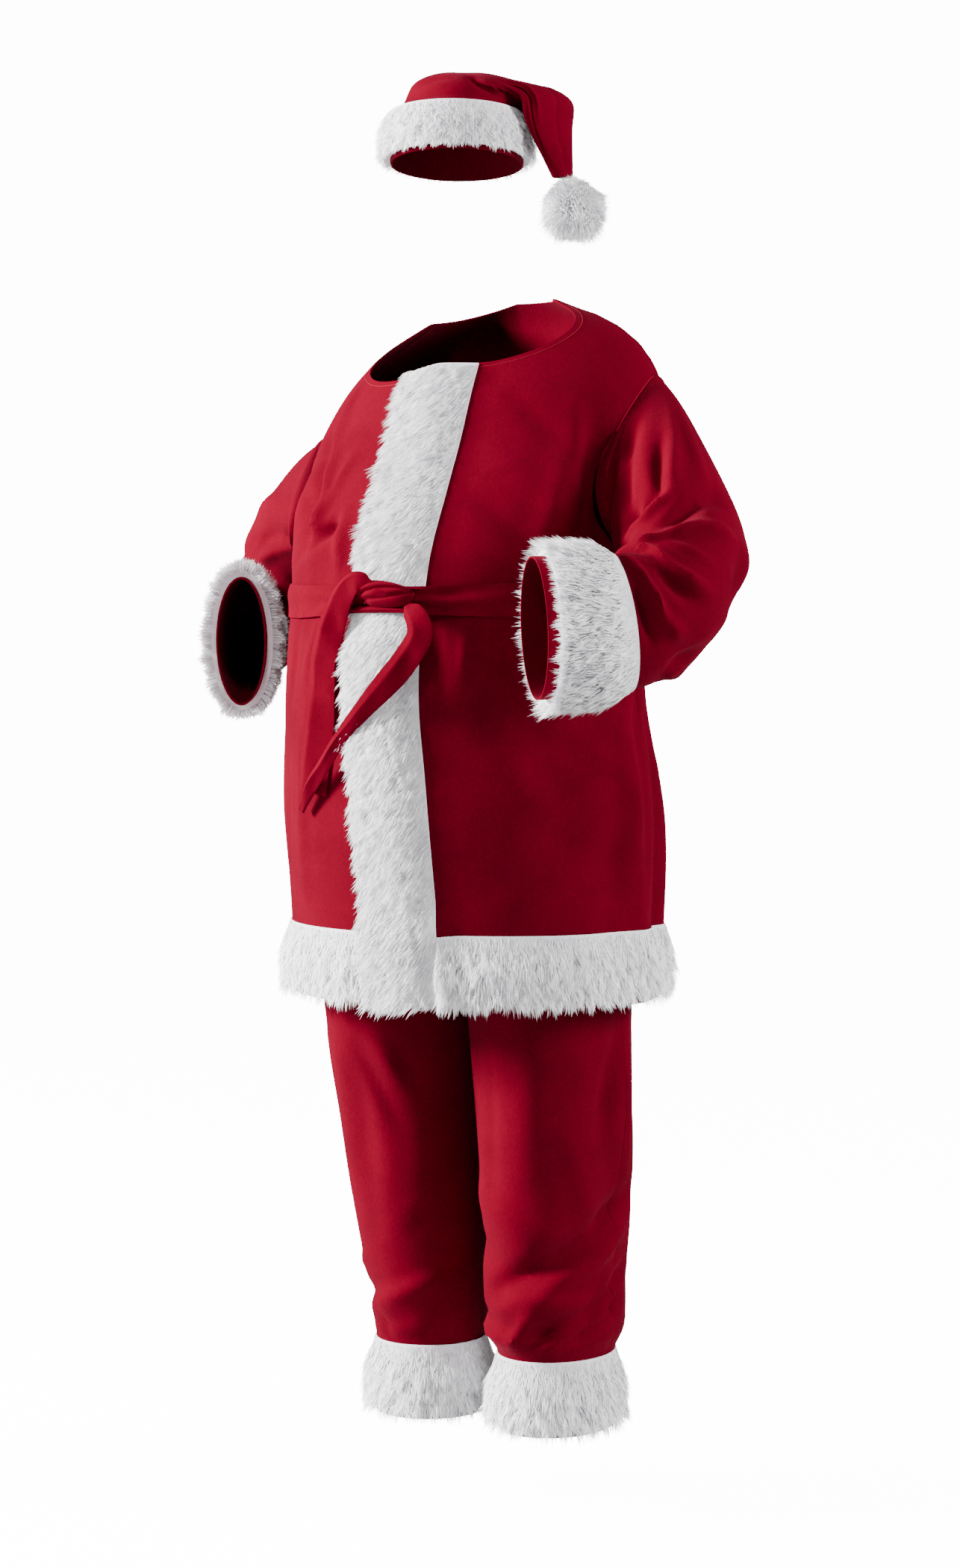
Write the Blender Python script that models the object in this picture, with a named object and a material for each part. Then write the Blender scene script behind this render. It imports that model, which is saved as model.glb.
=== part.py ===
"""A santa suit as it is worn: jacket, tie belt, trousers and hat, with nobody inside.

Units are metres. +Z is up, the front faces -Y and the wearer's left is +X. Heights in the
tables are above the floor that the wearer stands on; the origin is at the base of the neck,
where the shoulders carry the jacket. Every wall is cloth with its own thickness, worked out
from rings or sections, and a piece that lies on a panel is made from that panel's points.
"""

import math
from collections import namedtuple

import bmesh
import bpy
from mathutils import Vector

# ---- driving sizes -------------------------------------------------------------------------

NECK_BASE_HEIGHT = 1.500      # height of the origin above the floor
CLOTH = 0.0022                # thickness of the fleece
SEAM = 0.0003                 # gap between two pieces at a seam
LAY = 0.0004                  # gap under a piece that lies on a panel
FUR = 0.019                   # reach of the fur from its backing
BELT_CLOTH = 0.0030           # thickness of the folded belt cloth

HEM_HEIGHT = 0.668            # lower edge of the jacket
NECK_SIDE_HEIGHT = 1.548      # top of the shoulder seam, at the neck
NECK_FRONT_DROP = 0.092       # how far the neckline dips at the front
SHOULDER_SLOPE_DROP = 0.060   # how much lower the wearer's right shoulder point is
UNDERARM_HEIGHT = 1.222
SHOULDER_TIP_HEIGHT = 1.448
ARMHOLE_HALF_TURN = 31.0      # degrees that the armhole opens either side of the side line
ARMHOLE_STEPS = 10

FRONT_BAND_HALF = 0.051       # half the width of the fur band down the front
LAP_UNDER = 0.030             # how far the right front runs under the left one
HEM_BAND_TOP = 0.760
BELT_LOW = 1.146
BELT_HIGH = 1.188

CROTCH_HEIGHT = 0.735
LEG_HEM_HEIGHT = 0.110
LEG_BAND_TOP = 0.207
WAIST_HEIGHT = 1.000
WAISTBAND = 0.036

HAT_TILT = 0.10               # fall of the hat's rim for each metre towards the back
HAT_TURN = 24.0               # degrees that the hat looks towards the wearer's left
HAT_MIDDLE = (0.000, -0.058)
HAT_BAND_ROWS = 4
POMPOM_CENTRE = (0.1470, -0.0325, 1.6509)   # on the hat's own axes
POMPOM_CORE = 0.0285
POMPOM_REACH = 0.0415
POMPOM_SEEDS = 118

RED = (0.42, 0.010, 0.030, 1.0)
DARK_RED = (0.36, 0.008, 0.026, 1.0)
WHITE = (0.88, 0.88, 0.90, 1.0)

# ---- tables --------------------------------------------------------------------------------

TorsoRing = namedtuple("TorsoRing", "height half_width front back lean shift boxy")
TORSO_RINGS = [
    TorsoRing(0.640, 0.240, 0.190, 0.150, 0.000, 0.000, 0.02),
    TorsoRing(0.760, 0.242, 0.208, 0.150, 0.000, 0.000, 0.02),
    TorsoRing(0.885, 0.246, 0.232, 0.150, 0.000, 0.000, 0.01),
    TorsoRing(0.960, 0.243, 0.240, 0.148, 0.000, -0.003, 0.00),
    TorsoRing(1.040, 0.235, 0.243, 0.145, 0.000, -0.009, 0.00),
    TorsoRing(1.120, 0.231, 0.240, 0.143, 0.000, -0.009, 0.00),
    TorsoRing(1.170, 0.229, 0.233, 0.142, 0.000, -0.007, 0.00),
    TorsoRing(1.226, 0.233, 0.224, 0.144, 0.002, -0.003, 0.02),
    TorsoRing(1.300, 0.239, 0.197, 0.140, 0.012, 0.000, 0.03),
    TorsoRing(1.360, 0.241, 0.176, 0.126, 0.026, 0.000, 0.02),
    TorsoRing(1.420, 0.238, 0.155, 0.108, 0.035, 0.000, -0.01),
    TorsoRing(1.453, 0.228, 0.139, 0.100, 0.038, 0.000, -0.03),
    TorsoRing(1.485, 0.206, 0.122, 0.092, 0.040, 0.000, -0.04),
    TorsoRing(1.508, 0.178, 0.107, 0.086, 0.042, 0.000, -0.03),
    TorsoRing(1.526, 0.143, 0.094, 0.080, 0.043, 0.000, -0.02),
    TorsoRing(1.540, 0.104, 0.082, 0.073, 0.043, 0.000, 0.00),
    TorsoRing(1.550, 0.080, 0.074, 0.066, 0.043, 0.000, 0.00),
]

# A fold runs from one place on a surface to another: the turn is in degrees round it, the
# along is a height or a length in metres, and a negative depth is a trough.
Fold = namedtuple("Fold", "turn_from along_from turn_to along_to width depth")
JACKET_FOLDS = [
    Fold(84, 0.67, 80, 0.99, 0.020, 0.009),
    Fold(98, 0.67, 96, 1.02, 0.018, -0.009),
    Fold(112, 0.66, 110, 0.95, 0.022, 0.008),
    Fold(66, 0.70, 70, 0.92, 0.026, -0.005),
    Fold(40, 0.80, 62, 1.02, 0.035, -0.006),
    Fold(-82, 0.67, -84, 0.96, 0.020, 0.008),
    Fold(-98, 0.66, -97, 1.00, 0.020, -0.008),
    Fold(-116, 0.67, -112, 0.94, 0.022, 0.007),
    Fold(150, 0.66, 154, 1.05, 0.026, 0.008),
    Fold(172, 0.66, 170, 1.02, 0.024, -0.008),
    Fold(196, 0.66, 193, 1.06, 0.026, 0.008),
    Fold(218, 0.67, 222, 0.98, 0.022, -0.006),
    Fold(134, 0.67, 130, 0.94, 0.022, -0.007),
    Fold(58, 1.23, 52, 1.40, 0.016, -0.010),
    Fold(46, 1.21, 44, 1.36, 0.018, 0.007),
    Fold(-38, 1.235, -50, 1.33, 0.016, -0.011),
    Fold(-58, 1.27, -46, 1.40, 0.018, 0.006),
    Fold(-24, 1.240, -40, 1.225, 0.020, 0.006),
    Fold(124, 1.18, 128, 1.36, 0.020, -0.008),
    Fold(-124, 1.18, -128, 1.36, 0.020, -0.008),
    Fold(150, 1.10, 205, 1.10, 0.020, -0.005),
    Fold(150, 1.22, 205, 1.215, 0.024, 0.006),
]

# A sleeve's stations run from the armhole to the edge at the hand; out is the distance from
# the middle of the body, and roll is how far its lengthwise lines have turned round it.
Station = namedtuple("Station", "out back height half_across half_tall roll")
SLEEVES = {
    "left": [
        Station(0.222, 0.020, 1.330, 0.075, 0.105, 0),
        Station(0.270, -0.006, 1.296, 0.078, 0.092, 0),
        Station(0.300, -0.050, 1.244, 0.078, 0.084, 0),
        Station(0.319, -0.096, 1.196, 0.074, 0.078, -12),
        Station(0.320, -0.138, 1.162, 0.069, 0.078, -28),
        Station(0.300, -0.172, 1.147, 0.062, 0.080, -42),
        Station(0.270, -0.203, 1.140, 0.054, 0.083, -50),
        Station(0.209, -0.264, 1.136, 0.050, 0.085, -50),
    ],
    "right": [
        Station(0.222, 0.030, 1.285, 0.070, 0.095, 0),
        Station(0.268, 0.042, 1.262, 0.072, 0.086, 0),
        Station(0.300, 0.058, 1.214, 0.070, 0.080, -8),
        Station(0.322, 0.060, 1.170, 0.058, 0.072, -25),
        Station(0.332, 0.028, 1.138, 0.046, 0.072, -50),
        Station(0.326, -0.012, 1.124, 0.038, 0.076, -70),
        Station(0.314, -0.044, 1.118, 0.033, 0.079, -80),
        Station(0.275, -0.126, 1.114, 0.032, 0.082, -80),
    ],
}
SLEEVE_RINGS = 17
CUFF_RINGS = 5
UPPER_RINGS = 6
CUFF_FROM = 0.795             # share of the sleeve's stations where the fur cuff starts
SLEEVE_FOLDS = {
    "left": [
        Fold(40, 0.30, 120, 0.42, 0.022, -0.014),
        Fold(20, 0.52, 110, 0.47, 0.020, 0.010),
        Fold(30, 0.62, 120, 0.55, 0.018, -0.011),
        Fold(330, 0.40, 60, 0.22, 0.026, 0.009),
        Fold(200, 0.46, 250, 0.58, 0.020, -0.008),
        Fold(250, 0.30, 300, 0.48, 0.024, 0.007),
        Fold(150, 0.62, 210, 0.68, 0.016, 0.007),
    ],
    "right": [
        Fold(40, 0.32, 120, 0.42, 0.020, -0.010),
        Fold(20, 0.54, 110, 0.48, 0.018, 0.007),
        Fold(300, 0.30, 360, 0.42, 0.022, -0.007),
        Fold(200, 0.46, 260, 0.56, 0.020, 0.006),
    ],
}

LegRing = namedtuple("LegRing", "height out back half_width half_depth")
LEGS = {
    "left": [
        LegRing(0.090, 0.0930, 0.040, 0.0715, 0.088),
        LegRing(0.205, 0.0930, 0.040, 0.0715, 0.088),
        LegRing(0.235, 0.0930, 0.038, 0.0830, 0.108),
        LegRing(0.300, 0.0930, 0.035, 0.0850, 0.114),
        LegRing(0.400, 0.0960, 0.031, 0.0890, 0.114),
        LegRing(0.500, 0.0990, 0.024, 0.0960, 0.118),
        LegRing(0.600, 0.1030, 0.006, 0.1000, 0.119),
        LegRing(0.700, 0.1040, -0.010, 0.1010, 0.118),
        LegRing(0.820, 0.1040, -0.012, 0.1010, 0.118),
    ],
    "right": [
        LegRing(0.090, 0.0930, 0.047, 0.0700, 0.074),
        LegRing(0.205, 0.0930, 0.047, 0.0700, 0.074),
        LegRing(0.235, 0.0920, 0.045, 0.0740, 0.084),
        LegRing(0.300, 0.0920, 0.042, 0.0790, 0.090),
        LegRing(0.400, 0.0950, 0.034, 0.0860, 0.100),
        LegRing(0.500, 0.0990, 0.024, 0.0910, 0.110),
        LegRing(0.600, 0.1030, 0.006, 0.0980, 0.117),
        LegRing(0.700, 0.1040, -0.010, 0.1010, 0.118),
        LegRing(0.820, 0.1040, -0.012, 0.1010, 0.118),
    ],
}
HipRing = namedtuple("HipRing", "height half_width front back lean")
HIP_RINGS = [
    HipRing(0.640, 0.196, 0.140, 0.112, 0.000),
    HipRing(0.760, 0.196, 0.144, 0.114, 0.000),
    HipRing(0.880, 0.192, 0.150, 0.114, 0.000),
    HipRing(0.960, 0.180, 0.148, 0.108, 0.000),
    HipRing(1.000, 0.172, 0.142, 0.102, 0.000),
]
LEG_FOLDS = {
    "left": [
        Fold(-60, 0.42, 40, 0.36, 0.020, 0.008),
        Fold(-70, 0.36, 60, 0.29, 0.018, -0.009),
        Fold(-10, 0.30, 84, 0.27, 0.014, 0.009),
        Fold(-80, 0.265, 30, 0.245, 0.012, -0.007),
        Fold(60, 0.60, 88, 0.34, 0.020, -0.006),
        Fold(20, 0.66, 10, 0.46, 0.024, 0.006),
        Fold(-40, 0.66, -36, 0.50, 0.020, -0.006),
        Fold(120, 0.62, 132, 0.34, 0.022, -0.007),
        Fold(170, 0.60, 160, 0.40, 0.024, 0.007),
        Fold(205, 0.36, 140, 0.28, 0.018, 0.008),
        Fold(150, 0.26, 230, 0.28, 0.014, -0.007),
    ],
    "right": [
        Fold(-50, 0.64, -30, 0.40, 0.022, 0.006),
        Fold(10, 0.62, 20, 0.36, 0.022, -0.006),
        Fold(50, 0.60, 56, 0.30, 0.020, 0.007),
        Fold(20, 0.285, 86, 0.255, 0.012, -0.007),
        Fold(-60, 0.30, 20, 0.26, 0.014, 0.006),
        Fold(122, 0.62, 130, 0.34, 0.022, -0.007),
        Fold(168, 0.60, 160, 0.38, 0.024, 0.007),
        Fold(210, 0.34, 140, 0.27, 0.016, 0.007),
    ],
}

# The crown's sections lean over towards the wearer's left: turn is 0 on the head, 90 where
# the tail runs sideways and 180 where it hangs, and yaw swings the tail round to the front.
CrownSection = namedtuple("CrownSection", "along x y height half_across half_deep turn yaw")
CROWN = [
    CrownSection(0.000, 0.0000, 0.000, 1.7090, 0.0830, 0.0980, 0, 0),
    CrownSection(0.220, 0.0000, 0.000, 1.7680, 0.0815, 0.0965, 0, 0),
    CrownSection(0.260, 0.0070, 0.001, 1.7740, 0.0760, 0.0935, 3, 0),
    CrownSection(0.330, 0.0150, 0.003, 1.7880, 0.0722, 0.0900, 10, 2),
    CrownSection(0.399, 0.0290, 0.004, 1.7975, 0.0635, 0.0840, 18, 5),
    CrownSection(0.534, 0.0600, -0.002, 1.8010, 0.0380, 0.0740, 33, 12),
    CrownSection(0.661, 0.0900, -0.010, 1.7955, 0.0150, 0.0640, 69, 24),
    CrownSection(0.767, 0.1130, -0.020, 1.7840, 0.0145, 0.0510, 153, 35),
    CrownSection(0.866, 0.1170, -0.033, 1.7510, 0.0135, 0.0385, 184, 42),
    CrownSection(1.000, 0.1330, -0.034, 1.6885, 0.0100, 0.0150, 180, 45),
]
CROWN_ROWS = 15
CROWN_COLUMNS = 10
CROWN_FOLDS = [
    Fold(60, 0.62, 40, 0.84, 0.012, -0.006),
    Fold(100, 0.58, 110, 0.80, 0.012, -0.005),
    Fold(20, 0.44, 84, 0.56, 0.013, -0.006),
    Fold(300, 0.46, 250, 0.62, 0.014, -0.006),
    Fold(160, 0.34, 200, 0.40, 0.014, 0.005),
]

# A belt tail's stations: turn in degrees round the jacket, the height, half its width and how
# far its middle lies off the jacket's surface.
TailStation = namedtuple("TailStation", "turn height half_width off")
TAIL_A = [
    TailStation(-2.0, 1.1895, 0.011, 0.0318),
    TailStation(-6.3, 1.1845, 0.0125, 0.0330),
    TailStation(-10.3, 1.1670, 0.014, 0.0290),
    TailStation(-13.4, 1.1440, 0.015, 0.0235),
    TailStation(-16.0, 1.120, 0.016, 0.022),
    TailStation(-19.6, 1.092, 0.017, 0.016),
    TailStation(-21.4, 1.062, 0.018, 0.010),
    TailStation(-23.0, 1.030, 0.018, 0.008),
    TailStation(-25.5, 0.990, 0.018, 0.006),
    TailStation(-27.5, 0.960, 0.016, 0.005),
    TailStation(-28.5, 0.940, 0.010, 0.004),
]
TAIL_B = [
    TailStation(8.95, 1.1602, 0.009, 0.0180),
    TailStation(12.6, 1.140, 0.012, 0.026),
    TailStation(12.6, 1.118, 0.013, 0.029),
    TailStation(9.6, 1.094, 0.012, 0.030),
    TailStation(4.0, 1.066, 0.011, 0.030),
    TailStation(-4.0, 1.033, 0.011, 0.029),
    TailStation(-13.0, 1.000, 0.011, 0.023),
    TailStation(-21.0, 0.966, 0.011, 0.016),
    TailStation(-27.0, 0.935, 0.010, 0.011),
    TailStation(-32.0, 0.906, 0.007, 0.008),
]

# ---- working out points --------------------------------------------------------------------


def table_at(rows, key, at):
    """The row of a table at a key between its rows, on a smooth curve through them."""
    keys = [getattr(row, key) for row in rows]
    at = min(max(at, keys[0]), keys[-1])
    index = max(i for i in range(len(keys) - 1) if keys[i] <= at or i == 0)
    step = keys[index + 1] - keys[index]
    share = (at - keys[index]) / step
    values = []
    for column in range(len(rows[0])):
        def value(i):
            return rows[i][column]

        def slope(i):
            low, high = max(i - 1, 0), min(i + 1, len(rows) - 1)
            return (value(high) - value(low)) / (keys[high] - keys[low])

        a, b = value(index), value(index + 1)
        ta, tb = slope(index) * step, slope(index + 1) * step
        s2, s3 = share * share, share ** 3
        values.append((2 * s3 - 3 * s2 + 1) * a + (s3 - 2 * s2 + share) * ta
                      + (3 * s2 - 2 * s3) * b + (s3 - s2) * tb)
    return type(rows[0])(*values)


def ease(low, high, at):
    """0 below low, 1 above high and a smooth rise between them."""
    share = min(max((at - low) / (high - low), 0.0), 1.0)
    return share * share * (3 - 2 * share)


def fold_depth(folds, turn, along, girth_per_degree, length=1.0):
    """How far the folds push a point out, at a turn and a place along a surface."""
    total = 0.0
    for fold in folds:
        middle = (fold.turn_from + fold.turn_to) / 2
        near = turn + 360.0 * round((middle - turn) / 360.0)
        ax, ay = fold.turn_from * girth_per_degree, fold.along_from * length
        bx, by = fold.turn_to * girth_per_degree, fold.along_to * length
        px, py = near * girth_per_degree, along * length
        dx, dy = bx - ax, by - ay
        share = ((px - ax) * dx + (py - ay) * dy) / (dx * dx + dy * dy)
        share = min(max(share, 0.0), 1.0)
        gap = math.hypot(px - ax - share * dx, py - ay - share * dy)
        taper = 0.35 + 0.65 * math.sin(math.pi * min(max(share, 0.0), 1.0))
        total += fold.depth * taper * math.exp(-(gap / fold.width) ** 2)
    return total


def outward(surface, first, second, step_first=0.5, step_second=0.002):
    """The unit normal of a surface of two numbers, by the change on either side."""
    along_first = surface(first + step_first, second) - surface(first - step_first, second)
    along_second = surface(first, second + step_second) - surface(first, second - step_second)
    return along_first.cross(along_second).normalized()


def placed(x, y, height):
    return Vector((x, y, height - NECK_BASE_HEIGHT))


# ---- the jacket's surface ------------------------------------------------------------------


def torso_surface(turn, height):
    """A point of the jacket's outer face: turn 0 is the front, 90 the wearer's left."""
    ring = table_at(TORSO_RINGS, "height", height)
    sine, cosine = math.sin(math.radians(turn)), math.cos(math.radians(turn))
    swell = 1.0 + ring.boxy * (2 * sine * cosine) ** 2
    depth = ring.front if cosine > 0 else ring.back
    x, y = ring.half_width * sine * swell, -depth * cosine * swell
    reach = math.hypot(x, y)
    push = 1.0 + fold_depth(JACKET_FOLDS, turn, height, 0.0040) / reach
    x, y = x * push + ring.shift, y * push + ring.lean
    drop = SHOULDER_SLOPE_DROP * ease(1.20, 1.47, height) * max(-x, 0.0) / 0.20
    return placed(x, y, height - drop)


def row_height(side_height, turn):
    """The height of a row of the jacket at a turn; the rows above the underarm dip in front."""
    front = max(math.cos(math.radians(turn)), 0.0)
    share = (side_height - UNDERARM_HEIGHT) / (NECK_SIDE_HEIGHT - UNDERARM_HEIGHT)
    return side_height - NECK_FRONT_DROP * front ** 1.5 * max(share, 0.0)


def torso(turn, side_height):
    return torso_surface(turn, row_height(side_height, turn))


def torso_out(turn, side_height):
    return outward(torso, turn, side_height)


ARM_MID = (UNDERARM_HEIGHT + SHOULDER_TIP_HEIGHT) / 2
ARM_HALF = (SHOULDER_TIP_HEIGHT - UNDERARM_HEIGHT) / 2
HEM_BAND_HEIGHTS = [HEM_HEIGHT + (HEM_BAND_TOP - HEM_HEIGHT) * i / 4 for i in range(5)]
BELT_HEIGHTS = [BELT_LOW, (BELT_LOW + BELT_HIGH) / 2, BELT_HIGH]
SKIRT_HEIGHTS = [0.800, 0.850, 0.900, 0.950, 1.000, 1.050, 1.100]
ARMHOLE_HEIGHTS = [ARM_MID - ARM_HALF * math.cos(math.pi * k / ARMHOLE_STEPS)
                   for k in range(ARMHOLE_STEPS + 1)]
SHOULDER_HEIGHTS = [1.474, 1.500, 1.524, NECK_SIDE_HEIGHT]
JACKET_HEIGHTS = (HEM_BAND_HEIGHTS + SKIRT_HEIGHTS + BELT_HEIGHTS + ARMHOLE_HEIGHTS
                  + SHOULDER_HEIGHTS)


def armhole_turn(side_height):
    """Half the armhole's opening, in degrees, at a row's height; 0 outside it."""
    share = (side_height - ARM_MID) / ARM_HALF
    return ARMHOLE_HALF_TURN * math.sqrt(max(1 - share * share, 0.0))


def seam_turn(metres, side_height):
    """The turn that a width at the jacket's side or front stands for."""
    ring = table_at(TORSO_RINGS, "height", row_height(side_height, 0))
    return math.degrees(metres / ring.half_width)


def front_half_turn(side_height):
    return seam_turn(FRONT_BAND_HALF, side_height)


def lap_lift(turn, side_height):
    """How far the left front stands off where it laps over the right one and its hem fur."""
    lift = CLOTH + 0.0012 + 0.0125 * (1 - ease(HEM_BAND_TOP - 0.004, HEM_BAND_TOP + 0.05,
                                               side_height))
    under = seam_turn(LAP_UNDER, side_height)
    return lift * (1 - ease(under + 1.0, under + 12.0, turn))


def spread(low, high, count):
    return [low + (high - low) * i / count for i in range(count + 1)]


def left_front_turns(side_height):
    half = front_half_turn(side_height)
    side = 90 - armhole_turn(side_height) - seam_turn(SEAM / 2, side_height)
    return spread(-half, half, 4)[:-1] + spread(half, side, 8)


def right_front_turns(side_height):
    under = seam_turn(LAP_UNDER, side_height)
    half = front_half_turn(side_height)
    side = 90 - armhole_turn(side_height) - seam_turn(SEAM / 2, side_height)
    edge = half + seam_turn(0.0016, side_height)
    return [-t for t in spread(edge, side, 8)[::-1]] + spread(-edge, under, 3)[1:]


def back_turns(side_height):
    side = 90 + armhole_turn(side_height) + seam_turn(SEAM / 2, side_height)
    return spread(side, 360 - side, 14)


def on_jacket(turns_of, heights, offset):
    """Rows of points over the jacket's surface, moved out by an offset of turn and height."""
    rows = []
    for height in heights:
        rows.append([torso(turn, height) + torso_out(turn, height) * offset(turn, height)
                     for turn in turns_of(height)])
    return rows


# ---- turning points into pieces ------------------------------------------------------------


def material(name, colour, roughness):
    """A cloth or fur finish, made once and shared."""
    if name in bpy.data.materials:
        return bpy.data.materials[name]
    made = bpy.data.materials.new(name)
    made.use_nodes = True
    shader = made.node_tree.nodes["Principled BSDF"]
    shader.inputs["Base Color"].default_value = colour
    shader.inputs["Roughness"].default_value = roughness
    shader.inputs["Metallic"].default_value = 0.0
    made.diffuse_color = colour
    return made


def fleece():
    return material("red_fleece", RED, 0.85)


def belt_fleece():
    return material("belt_fleece", DARK_RED, 0.85)


def fur():
    return material("white_fur", WHITE, 0.95)


def add_piece(name, form, finish):
    """Makes a bmesh into a named object with its faces pointing out."""
    bmesh.ops.triangulate(form, faces=form.faces[:])
    bmesh.ops.recalc_face_normals(form, faces=form.faces[:])
    mesh = bpy.data.meshes.new(name)
    form.to_mesh(mesh)
    form.free()
    mesh.shade_smooth()
    mesh.set_sharp_from_angle(angle=math.radians(50))
    mesh.materials.append(finish)
    piece = bpy.data.objects.new(name, mesh)
    bpy.context.scene.collection.objects.link(piece)
    return piece


def shell(name, outer, inner, finish, ring=False):
    """A wall between two grids of points; a ring's last column meets its first."""
    form = bmesh.new()
    grids = [[[form.verts.new(point) for point in row] for row in grid]
             for grid in (outer, inner)]
    rows, columns = len(outer), len(outer[0])
    cells = columns if ring else columns - 1

    def strip(a, b, c, d):
        form.faces.new((a, b, c))
        form.faces.new((a, c, d))

    for grid in grids:
        for r in range(rows - 1):
            for c in range(cells):
                n = (c + 1) % columns
                strip(grid[r][c], grid[r][n], grid[r + 1][n], grid[r + 1][c])
    front, back = grids
    for r in (0, rows - 1):
        for c in range(cells):
            n = (c + 1) % columns
            strip(front[r][c], front[r][n], back[r][n], back[r][c])
    if not ring:
        for c in (0, columns - 1):
            for r in range(rows - 1):
                strip(front[r][c], front[r + 1][c], back[r + 1][c], back[r][c])
    return add_piece(name, form, finish)


def jacket_panel(name, turns_of, offset):
    outer = on_jacket(turns_of, JACKET_HEIGHTS, offset)
    inner = on_jacket(turns_of, JACKET_HEIGHTS, lambda t, h: offset(t, h) - CLOTH)
    return shell(name, outer, inner, fleece())


def fur_height(across, along, reach=FUR):
    """The fur's height over its backing: across is 0 at the sewn edge and 1 at the free one."""
    rise = ease(-0.10, 0.42, across)
    fall = 1 - 0.36 * ease(0.82, 1.0, across)
    tuft = 1 + 0.07 * math.sin(along * 2.4) * math.sin(along * 1.1 + across * 5)
    return 0.0022 + (reach - 0.0022) * rise * fall * tuft


# ---- the jacket ----------------------------------------------------------------------------


def jacket_panels():
    jacket_panel("jacket_front_left", left_front_turns, lap_lift)
    jacket_panel("jacket_front_right", right_front_turns, lambda t, h: 0.0)
    jacket_panel("jacket_back", back_turns, lambda t, h: 0.0)


def belt_press(height):
    """1 where the belt presses the fur of the front band flat."""
    return ease(BELT_LOW - 0.045, BELT_LOW, height) * (1 - ease(BELT_HIGH, BELT_HIGH + 0.05,
                                                               height))


def front_band_height(turn, height):
    """The front band's fur over the left front: its sewn edge is at the wearer's left."""
    half = front_half_turn(height)
    across = (half - turn) / (2 * half)
    full = fur_height(across, height * 60, FUR)
    return full * (1 - 0.62 * belt_press(height))


def front_band():
    def turns(height):
        half = front_half_turn(height)
        return spread(-half, half, 4)

    def base(turn, height):
        return lap_lift(turn, height) + LAY

    outer = on_jacket(turns, JACKET_HEIGHTS, lambda t, h: base(t, h) + front_band_height(t, h))
    shell("front_band", outer, on_jacket(turns, JACKET_HEIGHTS, base), fur())


def hem_band(name, turns_of, base, flat=lambda turn: 0.0):
    """Fur round the hem, sewn on at its top edge and free at its lower one."""
    def reach(turn, height):
        across = (HEM_BAND_TOP - height) / (HEM_BAND_TOP - HEM_HEIGHT)
        return fur_height(across, turn, FUR) * (1 - flat(turn))

    outer = on_jacket(turns_of, HEM_BAND_HEIGHTS, lambda t, h: base(t, h) + reach(t, h))
    shell(name, outer, on_jacket(turns_of, HEM_BAND_HEIGHTS, base), fur())


def hem_bands():
    def left_turns(height):
        return left_front_turns(height)[4:]

    def left_base(turn, height):
        return lap_lift(turn, height) + LAY

    def inset(turns):
        nudge = seam_turn(SEAM, HEM_HEIGHT)
        return [turns[0] + nudge] + turns[1:]

    hem_band("hem_band_left", lambda h: inset(left_turns(h)), left_base)
    hem_band("hem_band_right", lambda h: right_front_turns(h)[:-1], lambda t, h: LAY,
             lambda turn: 0.50 * ease(-20.0, -12.5, turn))
    hem_band("hem_band_back", back_turns, lambda t, h: LAY)


def sleeve_frame(stations, along):
    """The middle of a sleeve, its up and its front, at a share of its stations."""
    count = len(stations) - 1

    def middle(share):
        place = table_at(INDEXED[id(stations)], "index", min(max(share, 0.0), 1.0) * count)
        return place

    place = middle(along)
    after, before = middle(along + 0.02), middle(along - 0.02)
    run = Vector((after.out - before.out, after.back - before.back,
                  after.height - before.height)).normalized()
    up = (Vector((0, 0, 1)) - run * run.z).normalized()
    return place, up, run.cross(up)


IndexedStation = namedtuple("IndexedStation", "index " + " ".join(Station._fields))
INDEXED = {id(rows): [IndexedStation(i, *row) for i, row in enumerate(rows)]
           for rows in SLEEVES.values()}


def armhole_point(side, turn):
    """The armhole's edge, a little inside it: turn 0 is the shoulder point, 90 the front."""
    sine, cosine = math.sin(math.radians(turn)), math.cos(math.radians(turn))
    inside = 1 - 0.0009 / ARM_HALF
    side_height = ARM_MID + ARM_HALF * inside * cosine
    opening = ARMHOLE_HALF_TURN * inside * sine
    point = torso(side * (90 - opening), side_height)
    return Vector((point.x * side, point.y, point.z))


SLEEVE_CLEAR = 0.0095         # a sleeve's least distance from the jacket's side
TOP_CLOSER = 0.50             # share of that distance taken off at the sleeve's top
# Where each sleeve is parted into two nodes, so that both stay hollow.
SLEEVE_PARTING = {"left": 0.38, "right": 0.32}
SLEEVE_LENGTH = 0.46


def clear_of_torso(point, side, clearance):
    """Moves a point of a sleeve out until it only rests near the jacket's side."""
    height = point.z + NECK_BASE_HEIGHT
    if side < 0:
        height += SHOULDER_SLOPE_DROP * ease(1.20, 1.47, height) * abs(point.x) / 0.20
    if height > SHOULDER_TIP_HEIGHT:
        return point
    ring = table_at(TORSO_RINGS, "height", height)
    x, y = point.x - side * ring.shift, point.y - ring.lean
    depth = ring.front if y < 0 else ring.back
    turn = math.degrees(math.atan2(x / ring.half_width, -y / depth))
    cloth = torso_surface(side * turn, height)
    edge = math.hypot(cloth.x * side - side * ring.shift, cloth.y - ring.lean) + clearance
    reach = math.hypot(x, y)
    if reach >= edge:
        return point
    more = edge / reach - 1
    return Vector((point.x + x * more, point.y + y * more, point.z))


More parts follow.
